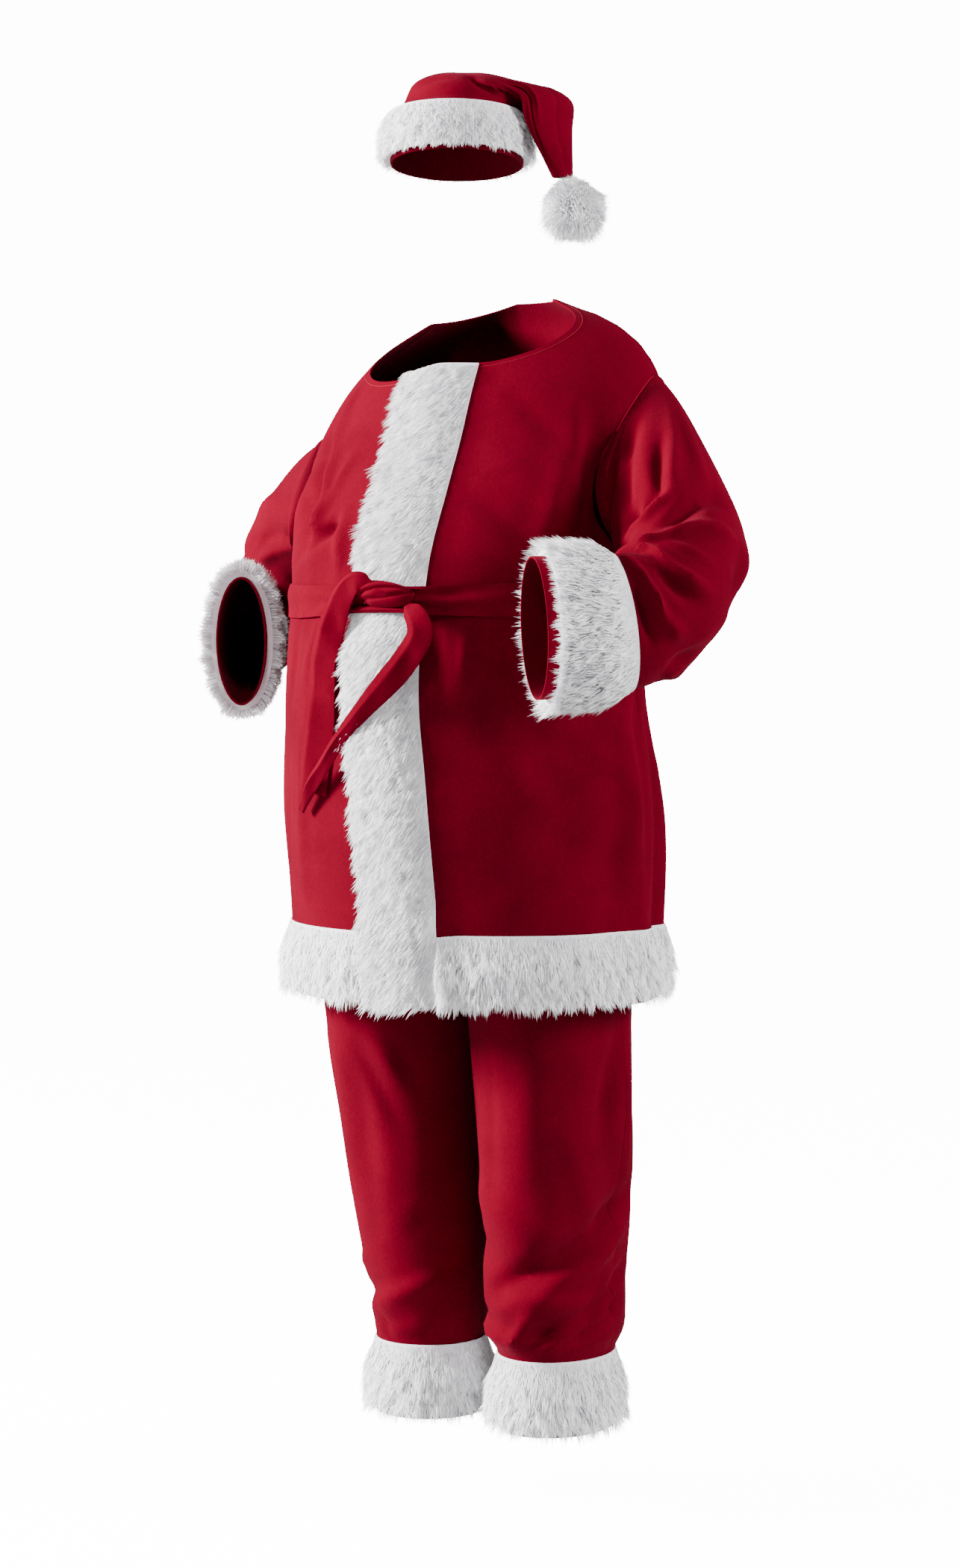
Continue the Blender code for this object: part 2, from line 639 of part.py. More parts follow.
def sleeve_surface(side_name):
    """The sleeve's outer face as a function of the turn round it and the place along it."""
    stations = SLEEVES[side_name]
    side = 1 if side_name == "left" else -1

    def surface(turn, along):
        place, up, front = sleeve_frame(stations, max(along, 0.0))
        round_it = math.radians(turn + place.roll)
        sine, cosine = math.sin(round_it), math.cos(round_it)
        middle = placed(place.out, place.back, place.height)
        push = fold_depth(SLEEVE_FOLDS[side_name], turn, along, 0.0013, SLEEVE_LENGTH)
        push *= ease(0.02, 0.20, along) * (1 - ease(0.66, 0.74, along))
        tube = (middle + up * (place.half_tall + push) * cosine
                + front * (place.half_across + push) * sine)
        blend = ease(0.0, 0.30, along)
        point = armhole_point(side, turn) * (1 - blend) + tube * blend
        if along > 0.01:
            top = max(math.cos(math.radians(turn)), 0.0)
            clearance = SLEEVE_CLEAR * (1 - TOP_CLOSER * top) * ease(0.0, 0.06, along)
            point = clear_of_torso(point, side, clearance)
        return Vector((point.x * side, point.y, point.z))

    return surface


def tube_points(surface, turns, alongs, offset, way=1):
    """Rows of points round a tube, moved out by an offset of turn and place along."""
    rows = []
    for along in alongs:
        row = []
        for turn in turns:
            normal = outward(surface, turn, along, 1.0, 0.004) * way
            row.append(surface(turn, along) + normal * offset(turn, along))
        rows.append(row)
    return rows


def sleeve_alongs(side_name):
    """Places along a sleeve's upper part and along its lower one."""
    parting = SLEEVE_PARTING[side_name]
    upper = spread(0.0, parting, UPPER_RINGS)
    lower = spread(parting + 2 * SEAM / SLEEVE_LENGTH, CUFF_FROM,
                   SLEEVE_RINGS - CUFF_RINGS - UPPER_RINGS - 2)
    return upper, lower[:-1] + spread(CUFF_FROM, 1.0, CUFF_RINGS)


def sleeves():
    turns = [i * 180.0 / ARMHOLE_STEPS for i in range(2 * ARMHOLE_STEPS)]
    for side_name, way in (("left", 1), ("right", -1)):
        surface = sleeve_surface(side_name)
        for part, alongs in zip(("upper", "lower"), sleeve_alongs(side_name)):
            outer = tube_points(surface, turns, alongs, lambda t, a: 0.0, way)
            inner = tube_points(surface, turns, alongs, lambda t, a: -CLOTH, way)
            shell("sleeve_%s_%s" % (side_name, part), outer, inner, fleece(), ring=True)

        def cuff(turn, along):
            across = (along - CUFF_FROM) / (1 - CUFF_FROM)
            return LAY + fur_height(across, turn * 0.6 + along * 3, FUR)

        cuff_alongs = spread(CUFF_FROM, 1.0, CUFF_RINGS)
        base = tube_points(surface, turns, cuff_alongs, lambda t, a: LAY, way)
        fringe = tube_points(surface, turns, cuff_alongs, cuff, way)
        shell("cuff_band_" + side_name, fringe, base, fur(), ring=True)


# ---- the belt ------------------------------------------------------------------------------


def belt_turns(height):
    """The turns round the outside of the closed jacket, the lapped left front on top."""
    left = left_front_turns(height)
    right = right_front_turns(height)[:9]
    return left + back_turns(height)[1:-1] + right[:-1] + [right[-1] - 3.0]


def over_jacket(turn, height):
    """The height of whatever lies outermost on the jacket's surface at a turn."""
    half = front_half_turn(height)
    if -half - 0.01 <= turn <= half + 0.01:
        return lap_lift(turn, height) + LAY + front_band_height(turn, height)
    if half < turn < 90:
        return lap_lift(turn, height)
    return 0.0


def belt_wrap():
    def base(turn, height):
        return over_jacket(turn, height) + LAY

    outer = on_jacket(belt_turns, BELT_HEIGHTS, lambda t, h: base(t, h) + BELT_CLOTH)
    shell("belt_wrap", outer, on_jacket(belt_turns, BELT_HEIGHTS, base), belt_fleece(),
          ring=True)


KNOT_GAP = 0.0004             # from the round to the flat back of the knot


def belt_knot():
    """The tied knot: a rounded lump with two bands of cloth crossing over it."""
    middle_turn, middle_height = 1.5, (BELT_LOW + BELT_HIGH) / 2 + 0.006
    normal = torso_out(middle_turn, middle_height)
    base = (torso(middle_turn, middle_height)
            + normal * (over_jacket(middle_turn, middle_height) + LAY + BELT_CLOTH))
    across = normal.cross(Vector((0, 0, 1))).normalized() * -1
    up = across.cross(normal) * -1
    half_wide, half_tall, deep = 0.038, 0.018, 0.017
    around, rings = 18, 7
    form = bmesh.new()
    rows = []
    for r in range(rings):
        lift = r / rings
        size = math.sqrt(1 - lift ** 2.4)
        row = []
        for c in range(around):
            angle = 2 * math.pi * c / around
            crossing = 1 + 0.10 * math.cos(2 * angle + 0.9) - 0.07 * abs(math.sin(1.5 * angle))
            row.append(form.verts.new(
                base + across * half_wide * size * crossing * math.cos(angle)
                + up * half_tall * size * crossing * math.sin(angle)
                + normal * (KNOT_GAP + deep * lift)))
        rows.append(row)
    for r in range(rings - 1):
        for c in range(around):
            n = (c + 1) % around
            form.faces.new((rows[r][c], rows[r][n], rows[r + 1][n], rows[r + 1][c]))
    form.faces.new(rows[0])
    form.faces.new(rows[-1])
    add_piece("belt_knot", form, belt_fleece())


def belt_tail(name, stations, count):
    """A free end of the belt: a flat strip of folded cloth with a soft hollow down it."""
    last = len(stations) - 1
    indexed = [IndexedTail(i, *row) for i, row in enumerate(stations)]

    def middle(share):
        place = table_at(indexed, "index", share * last)
        normal = torso_out(place.turn, place.height)
        return torso(place.turn, place.height) + normal * place.off, normal, place

    outer, inner = [], []
    for i in range(count + 1):
        share = i / count
        centre, normal, place = middle(share)
        ahead = middle(min(share + 0.03, 1.0))[0] - middle(max(share - 0.03, 0.0))[0]
        across = ahead.cross(normal).normalized()
        row_out, row_in = [], []
        for j in range(5):
            side = -1 + j / 2
            bow = 0.0022 * (1 - side * side)
            point = centre + across * place.half_width * side + normal * bow
            row_out.append(point + normal * BELT_CLOTH / 2)
            row_in.append(point - normal * BELT_CLOTH / 2)
        outer.append(row_out)
        inner.append(row_in)
    shell(name, outer, inner, belt_fleece())


IndexedTail = namedtuple("IndexedTail", "index " + " ".join(TailStation._fields))


def belt():
    belt_wrap()
    belt_knot()
    belt_tail("belt_tail_a", TAIL_A, 12)
    belt_tail("belt_tail_b", TAIL_B, 14)


# ---- the trousers --------------------------------------------------------------------------

LEG_HEIGHTS = (spread(LEG_HEM_HEIGHT, LEG_BAND_TOP, 4)
               + [0.225, 0.245, 0.270, 0.300, 0.335, 0.375, 0.430, 0.490, 0.550, 0.610, 0.665,
                  0.705, 0.735, 0.770, 0.820, 0.890, WAIST_HEIGHT - WAISTBAND])
LEG_COLUMNS = 8


def leg_surface(side_name):
    """A trouser leg's outer face; turn 0 is its front, 90 its outer side, -90 its inseam."""
    side = 1 if side_name == "left" else -1

    def surface(turn, height):
        ring = table_at(LEGS[side_name], "height", height)
        sine, cosine = math.sin(math.radians(turn)), math.cos(math.radians(turn))
        push = fold_depth(LEG_FOLDS[side_name], turn, height, 0.0017)
        push *= ease(LEG_BAND_TOP, LEG_BAND_TOP + 0.03, height)
        push *= 1 - ease(CROTCH_HEIGHT - 0.08, CROTCH_HEIGHT, height)
        inner_keep = ring.out - 0.0006
        across = (ring.half_width + push) * sine
        x_leg = ring.out + max(across, -inner_keep)
        y_leg = ring.back - (ring.half_depth + push) * cosine
        hip = table_at(HIP_RINGS, "height", height)
        front = cosine >= 0
        turn_hip = (turn + 90) / 2 if front else 180 - (270 - turn) / 2
        turn_hip = math.radians(turn_hip)
        depth = hip.front if front else hip.back
        x_hip = hip.half_width * math.sin(turn_hip) + 0.0006
        y_hip = hip.lean - depth * math.cos(turn_hip)
        blend = ease(CROTCH_HEIGHT - 0.055, CROTCH_HEIGHT + 0.045, height)
        x = x_leg * (1 - blend) + x_hip * blend
        y = y_leg * (1 - blend) + y_hip * blend
        return placed(side * x, y, height)

    return surface


def leg_turns(front):
    """The columns of a leg's front or back panel, from the inseam side to the outer side."""
    edge = math.degrees(SEAM / 2 / 0.09)
    turns = spread(-90 + edge, 90 - edge, LEG_COLUMNS)
    return turns if front else [180 - turn for turn in turns]


def panel_of_leg(surface, side, front, heights, offset):
    """Rows of points over one half of a leg, moved out by an offset."""
    rows = []
    for height in heights:
        row = []
        for turn in leg_turns(front):
            safe = min(max(turn, -88.0), 88.0) if front else min(max(turn, 92.0), 268.0)
            normal = outward(surface, safe, height, 1.0, 0.002) * side
            point = surface(turn, height) + normal * offset(turn, height)
            if height > CROTCH_HEIGHT - 0.06:
                point.x = side * max(side * point.x, SEAM / 2 + 0.0001)
            row.append(point)
        rows.append(row)
    return rows


def trousers():
    for side_name, side in (("left", 1), ("right", -1)):
        surface = leg_surface(side_name)
        for part, front in (("front", True), ("back", False)):
            outer = panel_of_leg(surface, side, front, LEG_HEIGHTS, lambda t, h: 0.0)
            inner = panel_of_leg(surface, side, front, LEG_HEIGHTS, lambda t, h: -CLOTH)
            shell("trouser_%s_%s" % (side_name, part), outer, inner, fleece())
        leg_band(side_name, side, surface)
    waistband()


def leg_band(side_name, side, surface):
    """Fur round the foot of a leg, made from the points of its two panels."""
    heights = spread(LEG_HEM_HEIGHT, LEG_BAND_TOP, 4)

    def ring_of(offset):
        fronts = panel_of_leg(surface, side, True, heights, offset)
        backs = panel_of_leg(surface, side, False, heights, offset)
        return [front + back[::-1] for front, back in zip(fronts, backs)]

    def reach(turn, height):
        across = (LEG_BAND_TOP - height) / (LEG_BAND_TOP - LEG_HEM_HEIGHT)
        return LAY + fur_height(across, turn, FUR)

    shell("leg_band_" + side_name, ring_of(reach), ring_of(lambda t, h: LAY), fur(), ring=True)


def waistband():
    """The casing for the elastic, a ring above the four trouser panels."""
    low, high = WAIST_HEIGHT - WAISTBAND + SEAM, WAIST_HEIGHT

    def ring_of(inset):
        rows = []
        for height in (low, (low + high) / 2, high):
            hip = table_at(HIP_RINGS, "height", height)
            row = []
            for i in range(32):
                turn = math.radians(360 * i / 32)
                depth = hip.front if math.cos(turn) > 0 else hip.back
                gather = 0.0016 * math.cos(16 * turn)
                row.append(placed((hip.half_width + gather - inset) * math.sin(turn),
                                  hip.lean - (depth + gather - inset) * math.cos(turn), height))
            rows.append(row)
        return rows

    shell("waistband", ring_of(0.0), ring_of(CLOTH + 0.001), fleece(), ring=True)


# ---- the hat -------------------------------------------------------------------------------


def on_head(x, y, height):
    """A point given on the hat's own axes, which look towards the wearer's left."""
    sine, cosine = math.sin(math.radians(HAT_TURN)), math.cos(math.radians(HAT_TURN))
    return placed(HAT_MIDDLE[0] + x * cosine - y * sine,
                  HAT_MIDDLE[1] + x * sine + y * cosine, height)


def crown_surface(turn, along):
    """The hat's outer face: turn 0 is its front, 90 the wearer's left, along 1 its tail's end."""
    section = table_at(CROWN, "along", along)
    sine, cosine = math.sin(math.radians(turn)), math.cos(math.radians(turn))
    push = fold_depth(CROWN_FOLDS, turn, along, 0.0014, 0.33)
    push *= ease(0.26, 0.36, along) * (1 - ease(0.9, 1.0, along))
    across = (section.half_across + push) * sine
    deep = -(section.half_deep + push) * cosine
    lean = math.radians(section.turn)
    fall = HAT_TILT * deep * (1 - ease(0.25, 0.55, along))
    yaw = math.radians(section.yaw)
    side = across * math.cos(lean)
    return on_head(section.x + side * math.cos(yaw) + deep * math.sin(yaw),
                   section.y - side * math.sin(yaw) + deep * math.cos(yaw),
                   section.height - across * math.sin(lean) - fall)


def crown_turns(start):
    edge = math.degrees(SEAM / 2 / 0.085)
    return spread(start + edge, start + 180 - edge, CROWN_COLUMNS)


def crown_alongs():
    band = spread(0.0, 0.22, HAT_BAND_ROWS)
    return band[:-1] + spread(0.22, 1.0, CROWN_ROWS - HAT_BAND_ROWS)


def hat():
    panels = {"hat_front": crown_turns(-90.0), "hat_back": crown_turns(90.0)}
    for name, turns in panels.items():
        outer = tube_points(crown_surface, turns, crown_alongs(), lambda t, a: 0.0)
        inner = tube_points(crown_surface, turns, crown_alongs(), lambda t, a: -CLOTH)
        shell(name, outer, inner, fleece())
    turns = panels["hat_front"] + panels["hat_back"]
    rows = spread(0.0, 0.22, HAT_BAND_ROWS)

    def reach(turn, along):
        return LAY + fur_height(1 - along / 0.22 * 0.9, turn, 0.0165)

    base = tube_points(crown_surface, turns, rows, lambda t, a: LAY)
    shell("hat_band", tube_points(crown_surface, turns, rows, reach), base, fur(), ring=True)
    pompom()


def pompom():
    """A round core with a three-sided lock on each face, all one piece."""
    centre = on_head(*POMPOM_CENTRE)
    form = bmesh.new()
    golden = math.pi * (3 - math.sqrt(5))
    for i in range(POMPOM_SEEDS):
        level = 1 - 2 * (i + 0.5) / POMPOM_SEEDS
        round_it = math.sqrt(1 - level * level)
        form.verts.new(centre + Vector((math.cos(golden * i) * round_it,
                                        math.sin(golden * i) * round_it,
                                        level)) * POMPOM_CORE)
    bmesh.ops.convex_hull(form, input=form.verts[:])
    bmesh.ops.recalc_face_normals(form, faces=form.faces[:])
    roots = form.faces[:]
    for number, root in enumerate(roots):
        middle = root.calc_center_median()
        away = (middle - centre).normalized()
        reach = POMPOM_REACH * (1 - 0.10 * ((number * 7) % 5) / 4)
        poked = bmesh.ops.poke(form, faces=[root])
        poked["verts"][0].co = centre + away * reach
    add_piece("pompom", form, fur())


def clear_scene():
    for old in list(bpy.data.objects):
        bpy.data.objects.remove(old, do_unlink=True)


def main():
    clear_scene()
    jacket_panels()
    front_band()
    hem_bands()
    sleeves()
    belt()
    trousers()
    hat()


main()
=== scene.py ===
"""Looks of a santa suit as it is worn, with nobody inside.

Fleece shells carry the garment's folds, long pile grows on the trim through Geometry Nodes, and
a soft key light from the camera's left shows both. Units are metres: +Z is up, the front faces
-Y, the wearer's left is +X and the origin is at the base of the neck. Heights in the tables are
above the floor that the wearer stands on.
"""

from __future__ import annotations

import logging
import math
import sys
from dataclasses import dataclass
from enum import Enum
from typing import NamedTuple, Optional, Sequence

import bmesh
import bpy
import numpy as np
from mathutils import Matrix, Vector

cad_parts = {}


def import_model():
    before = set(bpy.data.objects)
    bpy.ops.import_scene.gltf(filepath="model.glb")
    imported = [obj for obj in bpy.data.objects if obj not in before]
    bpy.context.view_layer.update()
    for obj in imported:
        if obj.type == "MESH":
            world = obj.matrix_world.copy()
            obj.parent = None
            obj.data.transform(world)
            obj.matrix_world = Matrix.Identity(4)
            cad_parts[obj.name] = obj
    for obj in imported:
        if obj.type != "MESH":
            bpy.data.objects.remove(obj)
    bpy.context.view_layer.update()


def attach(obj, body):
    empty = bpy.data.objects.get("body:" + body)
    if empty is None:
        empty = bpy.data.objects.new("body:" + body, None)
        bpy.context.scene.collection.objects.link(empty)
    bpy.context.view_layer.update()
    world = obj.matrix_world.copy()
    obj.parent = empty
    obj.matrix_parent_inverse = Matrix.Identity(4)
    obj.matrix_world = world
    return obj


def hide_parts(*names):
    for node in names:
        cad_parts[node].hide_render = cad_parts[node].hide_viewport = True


log = logging.getLogger("santa_suit")
Array = np.ndarray
Triple = tuple[float, float, float]
Piece = bpy.types.Object
Pair = tuple[Piece, Piece]
Material = bpy.types.Material
Socket = bpy.types.NodeSocket
Tree = bpy.types.NodeTree

# ---- driving sizes -------------------------------------------------------------------------

SIDES = ("left", "right")
WHITE = (1.0, 1.0, 1.0, 1.0)

# Cloth and fur
NECK_BASE_HEIGHT = 1.500      # height of the origin above the floor
CLOTH = 0.0022                # thickness of the fleece
SEAM = 0.0003                 # gap between two pieces at a seam
LAY = 0.0004                  # gap under a piece that lies on a panel
FUR = 0.019                   # reach of the fur from its backing
HAT_FUR = 0.0165
SEWN_FUR = 0.0022             # height that is left at a band's sewn edge
FREE_EDGE = 0.011             # how far the fur's backing stops short of its free edge
LOCKS = 42.0e4                # fur locks on a square metre
LOCK_WIDTH = 0.00096
STITCH_PITCH = 0.0036
BAND_COMB = (-0.0160, 0.0)    # lean of the locks on the hem and leg bands, downwards
FRONT_COMB = (-0.0135, -0.0085)  # on the front band, down and towards its free edge
CUFF_COMB = (0.0150, 0.0)     # on the cuffs, towards the hand
HAT_COMB = (-0.0080, 0.0)     # on the hat, towards its rim
FOLD_END = 0.35               # share of a fold's depth that is left at its ends

# The jacket
HEM_HEIGHT = 0.668
HEM_BAND_TOP = 0.760
NECK_SIDE_HEIGHT = 1.548
NECK_FRONT_DROP = 0.092
UNDERARM_HEIGHT = 1.222
SHOULDER_TIP_HEIGHT = 1.448
ARM_MID = (UNDERARM_HEIGHT + SHOULDER_TIP_HEIGHT) / 2
ARM_HALF = (SHOULDER_TIP_HEIGHT - UNDERARM_HEIGHT) / 2
ARMHOLE_HALF_TURN = 31.0
SHOULDER_SLOPE_DROP = 0.060   # how far the right shoulder hangs below the left one
SLOPE_FROM = 1.20             # height at which the drop begins
SLOPE_FULL = 1.47             # height from which it is full
SLOPE_OUT = 0.20              # distance out from the middle at which it is full
FRONT_BAND_HALF = 0.051
LAP_UNDER = 0.030
LAP_EDGE_GAP = 0.0016         # from the front band's sewn edge to what meets it
LAP_SLOPE = (1.0, 12.0)       # turns past the lower front's edge, where the lift runs out
LIFT_OVER_LAP = 0.0012        # air between the two fronts, over the cloth's thickness
LIFT_OVER_FUR = 0.0125        # more of it where the lower front carries the hem's fur
LAP_THINS = 0.50              # share that the right band's fur loses beside the lap
LAP_THINNING = (-20.0, -12.5)  # turns between which it does
CUFF_FROM = 0.795             # place along the sleeve where the cuff begins
SLEEVE_LENGTH = 0.46
SLEEVE_CLEAR = 0.0095         # how far a sleeve stands off the jacket's side
TOP_CLOSER = 0.50             # share of it that the sleeve's top gives up
ARMHOLE_INSET = 0.0009        # how far a sleeve's head stays inside the armhole

# The belt
BELT_CLOTH = 0.0030           # thickness of the folded belt cloth
BELT_LOW = 1.146
BELT_HIGH = 1.188
BELT_MIDDLE = (BELT_LOW + BELT_HIGH) / 2
BELT_FADE = (BELT_LOW - 0.045, BELT_LOW, BELT_HIGH, BELT_HIGH + 0.05)
BELT_FLATTENS = 0.62          # share of the front band's fur that the belt presses down
KNOT_GAP = 0.0004             # from the belt's round to the flat back of its knot

# The trousers
CROTCH_HEIGHT = 0.735
LEG_HEM_HEIGHT = 0.110
LEG_BAND_TOP = 0.207
WAIST_HEIGHT = 1.000
WAISTBAND = 0.036
INSEAM_GAP = 0.0006           # from the middle of the suit to a trouser leg

# The hat
HAT_TILT = 0.10
HAT_TURN = 24.0
HAT_MIDDLE = (0.000, -0.058)
HAT_BAND_TOP = 0.22
POMPOM_CENTRE = (0.1470, -0.0325, 1.6509)
POMPOM_REACH = 0.0415

# Meshes
FLEECE_GRID = 0.0070          # spacing of the points on the fleece
SLEEVE_GRID = 0.0046
PILE_GRID = 0.0080            # spacing of the points under the fur
SHARP_FROM = 50.0             # angle from which an edge between two faces stays sharp

# ---- tables --------------------------------------------------------------------------------


class TorsoRing(NamedTuple):
    """One level of the jacket's form."""

    height: float
    half_width: float
    front: float
    back: float
    lean: float
    shift: float
    boxy: float


class Fold(NamedTuple):
    """A soft ridge, or a trough where its depth is negative, between two places."""

    turn_from: float
    along_from: float
    turn_to: float
    along_to: float
    width: float
    depth: float


class Station(NamedTuple):
    """A section of a sleeve, from the armhole to the edge at the hand."""

    out: float
    back: float
    height: float
    half_across: float
    half_tall: float
    roll: float


class LegRing(NamedTuple):
    """One level of a trouser leg."""

    height: float
    out: float
    back: float
    half_width: float
    half_depth: float


class HipRing(NamedTuple):
    """One level of the trousers' hips."""

    height: float
    half_width: float
    front: float
    back: float


class CrownSection(NamedTuple):
    """A section of the hat, from its rim to the end of its tail."""

    along: float
    x: float
    y: float
    height: float
    half_across: float
    half_deep: float
    turn: float
    yaw: float


class TailStation(NamedTuple):
    """A place along a belt tail: the turn round the jacket, its lie off the cloth, and its fold."""

    turn: float
    height: float
    half_width: float
    off: float
    tilt: float
    ridge: float


def rows(kind: type, *values: tuple[float, ...]) -> list[NamedTuple]:
    """The rows of a table."""
    return [kind(*value) for value in values]


TORSO_RINGS = rows(TorsoRing,
    (0.640, 0.240, 0.190, 0.150, 0.000, 0.000, 0.02),
    (0.760, 0.242, 0.208, 0.150, 0.000, 0.000, 0.02),
    (0.885, 0.246, 0.232, 0.150, 0.000, 0.000, 0.01),
    (0.960, 0.243, 0.240, 0.148, 0.000, -0.003, 0.00),
    (1.040, 0.235, 0.243, 0.145, 0.000, -0.009, 0.00),
    (1.120, 0.231, 0.240, 0.143, 0.000, -0.009, 0.00),
    (1.170, 0.229, 0.233, 0.142, 0.000, -0.007, 0.00),
    (1.226, 0.233, 0.224, 0.144, 0.002, -0.003, 0.02),
    (1.300, 0.239, 0.197, 0.140, 0.012, 0.000, 0.03),
    (1.360, 0.241, 0.176, 0.126, 0.026, 0.000, 0.02),
    (1.420, 0.238, 0.155, 0.108, 0.035, 0.000, -0.01),
    (1.453, 0.228, 0.139, 0.100, 0.038, 0.000, -0.03),
    (1.485, 0.206, 0.122, 0.092, 0.040, 0.000, -0.04),
    (1.508, 0.178, 0.107, 0.086, 0.042, 0.000, -0.03),
    (1.526, 0.143, 0.094, 0.080, 0.043, 0.000, -0.02),
    (1.540, 0.104, 0.082, 0.073, 0.043, 0.000, 0.00),
    (1.550, 0.080, 0.074, 0.066, 0.043, 0.000, 0.00))

JACKET_FOLDS = rows(Fold,
    (84, 0.67, 80, 0.99, 0.020, 0.009), (98, 0.67, 96, 1.02, 0.018, -0.009),
    (112, 0.66, 110, 0.95, 0.022, 0.008), (66, 0.70, 70, 0.92, 0.026, -0.005),
    (40, 0.80, 62, 1.02, 0.035, -0.006), (-82, 0.67, -84, 0.96, 0.020, 0.008),
    (-98, 0.66, -97, 1.00, 0.020, -0.008), (-116, 0.67, -112, 0.94, 0.022, 0.007),
    (150, 0.66, 154, 1.05, 0.026, 0.008), (172, 0.66, 170, 1.02, 0.024, -0.008),
    (196, 0.66, 193, 1.06, 0.026, 0.008), (218, 0.67, 222, 0.98, 0.022, -0.006),
    (134, 0.67, 130, 0.94, 0.022, -0.007), (58, 1.23, 52, 1.40, 0.016, -0.010),
    (46, 1.21, 44, 1.36, 0.018, 0.007), (-38, 1.235, -50, 1.33, 0.016, -0.011),
    (-58, 1.27, -46, 1.40, 0.018, 0.006), (-24, 1.240, -40, 1.225, 0.020, 0.006),
    (124, 1.18, 128, 1.36, 0.020, -0.008), (-124, 1.18, -128, 1.36, 0.020, -0.008),
    (150, 1.10, 205, 1.10, 0.020, -0.005), (150, 1.22, 205, 1.215, 0.024, 0.006))

SLEEVES = {
    "left": rows(Station,
        (0.222, 0.020, 1.330, 0.075, 0.105, 0),
        (0.270, -0.006, 1.296, 0.078, 0.092, 0),
        (0.300, -0.050, 1.244, 0.078, 0.084, 0),
        (0.319, -0.096, 1.196, 0.074, 0.078, -12),
        (0.320, -0.138, 1.162, 0.069, 0.078, -28),
        (0.300, -0.172, 1.147, 0.062, 0.080, -42),
        (0.270, -0.203, 1.140, 0.054, 0.083, -50),
        (0.209, -0.264, 1.136, 0.050, 0.085, -50)),
    "right": rows(Station,
        (0.222, 0.030, 1.285, 0.070, 0.095, 0),
        (0.268, 0.042, 1.262, 0.072, 0.086, 0),
        (0.300, 0.058, 1.214, 0.070, 0.080, -8),
        (0.322, 0.060, 1.170, 0.058, 0.072, -25),
        (0.332, 0.028, 1.138, 0.046, 0.072, -50),
        (0.326, -0.012, 1.124, 0.038, 0.076, -70),
        (0.314, -0.044, 1.118, 0.033, 0.079, -80),
        (0.275, -0.126, 1.114, 0.032, 0.082, -80)),
}
SLEEVE_FOLDS = {
    "left": rows(Fold,
        (40, 0.30, 120, 0.42, 0.022, -0.014), (20, 0.52, 110, 0.47, 0.020, 0.010),
        (30, 0.62, 120, 0.55, 0.018, -0.011), (330, 0.40, 60, 0.22, 0.026, 0.009),
        (200, 0.46, 250, 0.58, 0.020, -0.008), (250, 0.30, 300, 0.48, 0.024, 0.007),
        (150, 0.62, 210, 0.68, 0.016, 0.007)),
    "right": rows(Fold,
        (40, 0.32, 120, 0.42, 0.020, -0.010), (20, 0.54, 110, 0.48, 0.018, 0.007),
        (300, 0.30, 360, 0.42, 0.022, -0.007), (200, 0.46, 260, 0.56, 0.020, 0.006)),
}

LEGS = {
    "left": rows(LegRing,
        (0.090, 0.0930, 0.040, 0.0715, 0.088),
        (0.205, 0.0930, 0.040, 0.0715, 0.088),
        (0.235, 0.0930, 0.038, 0.0830, 0.108),
        (0.300, 0.0930, 0.035, 0.0850, 0.114),
        (0.400, 0.0960, 0.031, 0.0890, 0.114),
        (0.500, 0.0990, 0.024, 0.0960, 0.118),
        (0.600, 0.1030, 0.006, 0.1000, 0.119),
        (0.700, 0.1040, -0.010, 0.1010, 0.118),
        (0.820, 0.1040, -0.012, 0.1010, 0.118)),
    "right": rows(LegRing,
        (0.090, 0.0930, 0.047, 0.0700, 0.074),
        (0.205, 0.0930, 0.047, 0.0700, 0.074),
        (0.235, 0.0920, 0.045, 0.0740, 0.084),
        (0.300, 0.0920, 0.042, 0.0790, 0.090),
        (0.400, 0.0950, 0.034, 0.0860, 0.100),
        (0.500, 0.0990, 0.024, 0.0910, 0.110),
        (0.600, 0.1030, 0.006, 0.0980, 0.117),
        (0.700, 0.1040, -0.010, 0.1010, 0.118),
        (0.820, 0.1040, -0.012, 0.1010, 0.118)),
}
HIP_RINGS = rows(HipRing,
    (0.640, 0.196, 0.140, 0.112),
    (0.760, 0.196, 0.144, 0.114),
    (0.880, 0.192, 0.150, 0.114),
    (0.960, 0.180, 0.148, 0.108),
    (1.000, 0.172, 0.142, 0.102))
LEG_FOLDS = {
    "left": rows(Fold,
        (-60, 0.42, 40, 0.36, 0.020, 0.008), (-70, 0.36, 60, 0.29, 0.018, -0.009),
        (-10, 0.30, 84, 0.27, 0.014, 0.009), (-80, 0.265, 30, 0.245, 0.012, -0.007),
        (60, 0.60, 88, 0.34, 0.020, -0.006), (20, 0.66, 10, 0.46, 0.024, 0.006),
        (-40, 0.66, -36, 0.50, 0.020, -0.006), (120, 0.62, 132, 0.34, 0.022, -0.007),
        (170, 0.60, 160, 0.40, 0.024, 0.007), (205, 0.36, 140, 0.28, 0.018, 0.008),
        (150, 0.26, 230, 0.28, 0.014, -0.007)),
    "right": rows(Fold,
        (-50, 0.64, -30, 0.40, 0.022, 0.006), (10, 0.62, 20, 0.36, 0.022, -0.006),
        (50, 0.60, 56, 0.30, 0.020, 0.007), (20, 0.285, 86, 0.255, 0.012, -0.007),
        (-60, 0.30, 20, 0.26, 0.014, 0.006), (122, 0.62, 130, 0.34, 0.022, -0.007),
        (168, 0.60, 160, 0.38, 0.024, 0.007), (210, 0.34, 140, 0.27, 0.016, 0.007)),
}

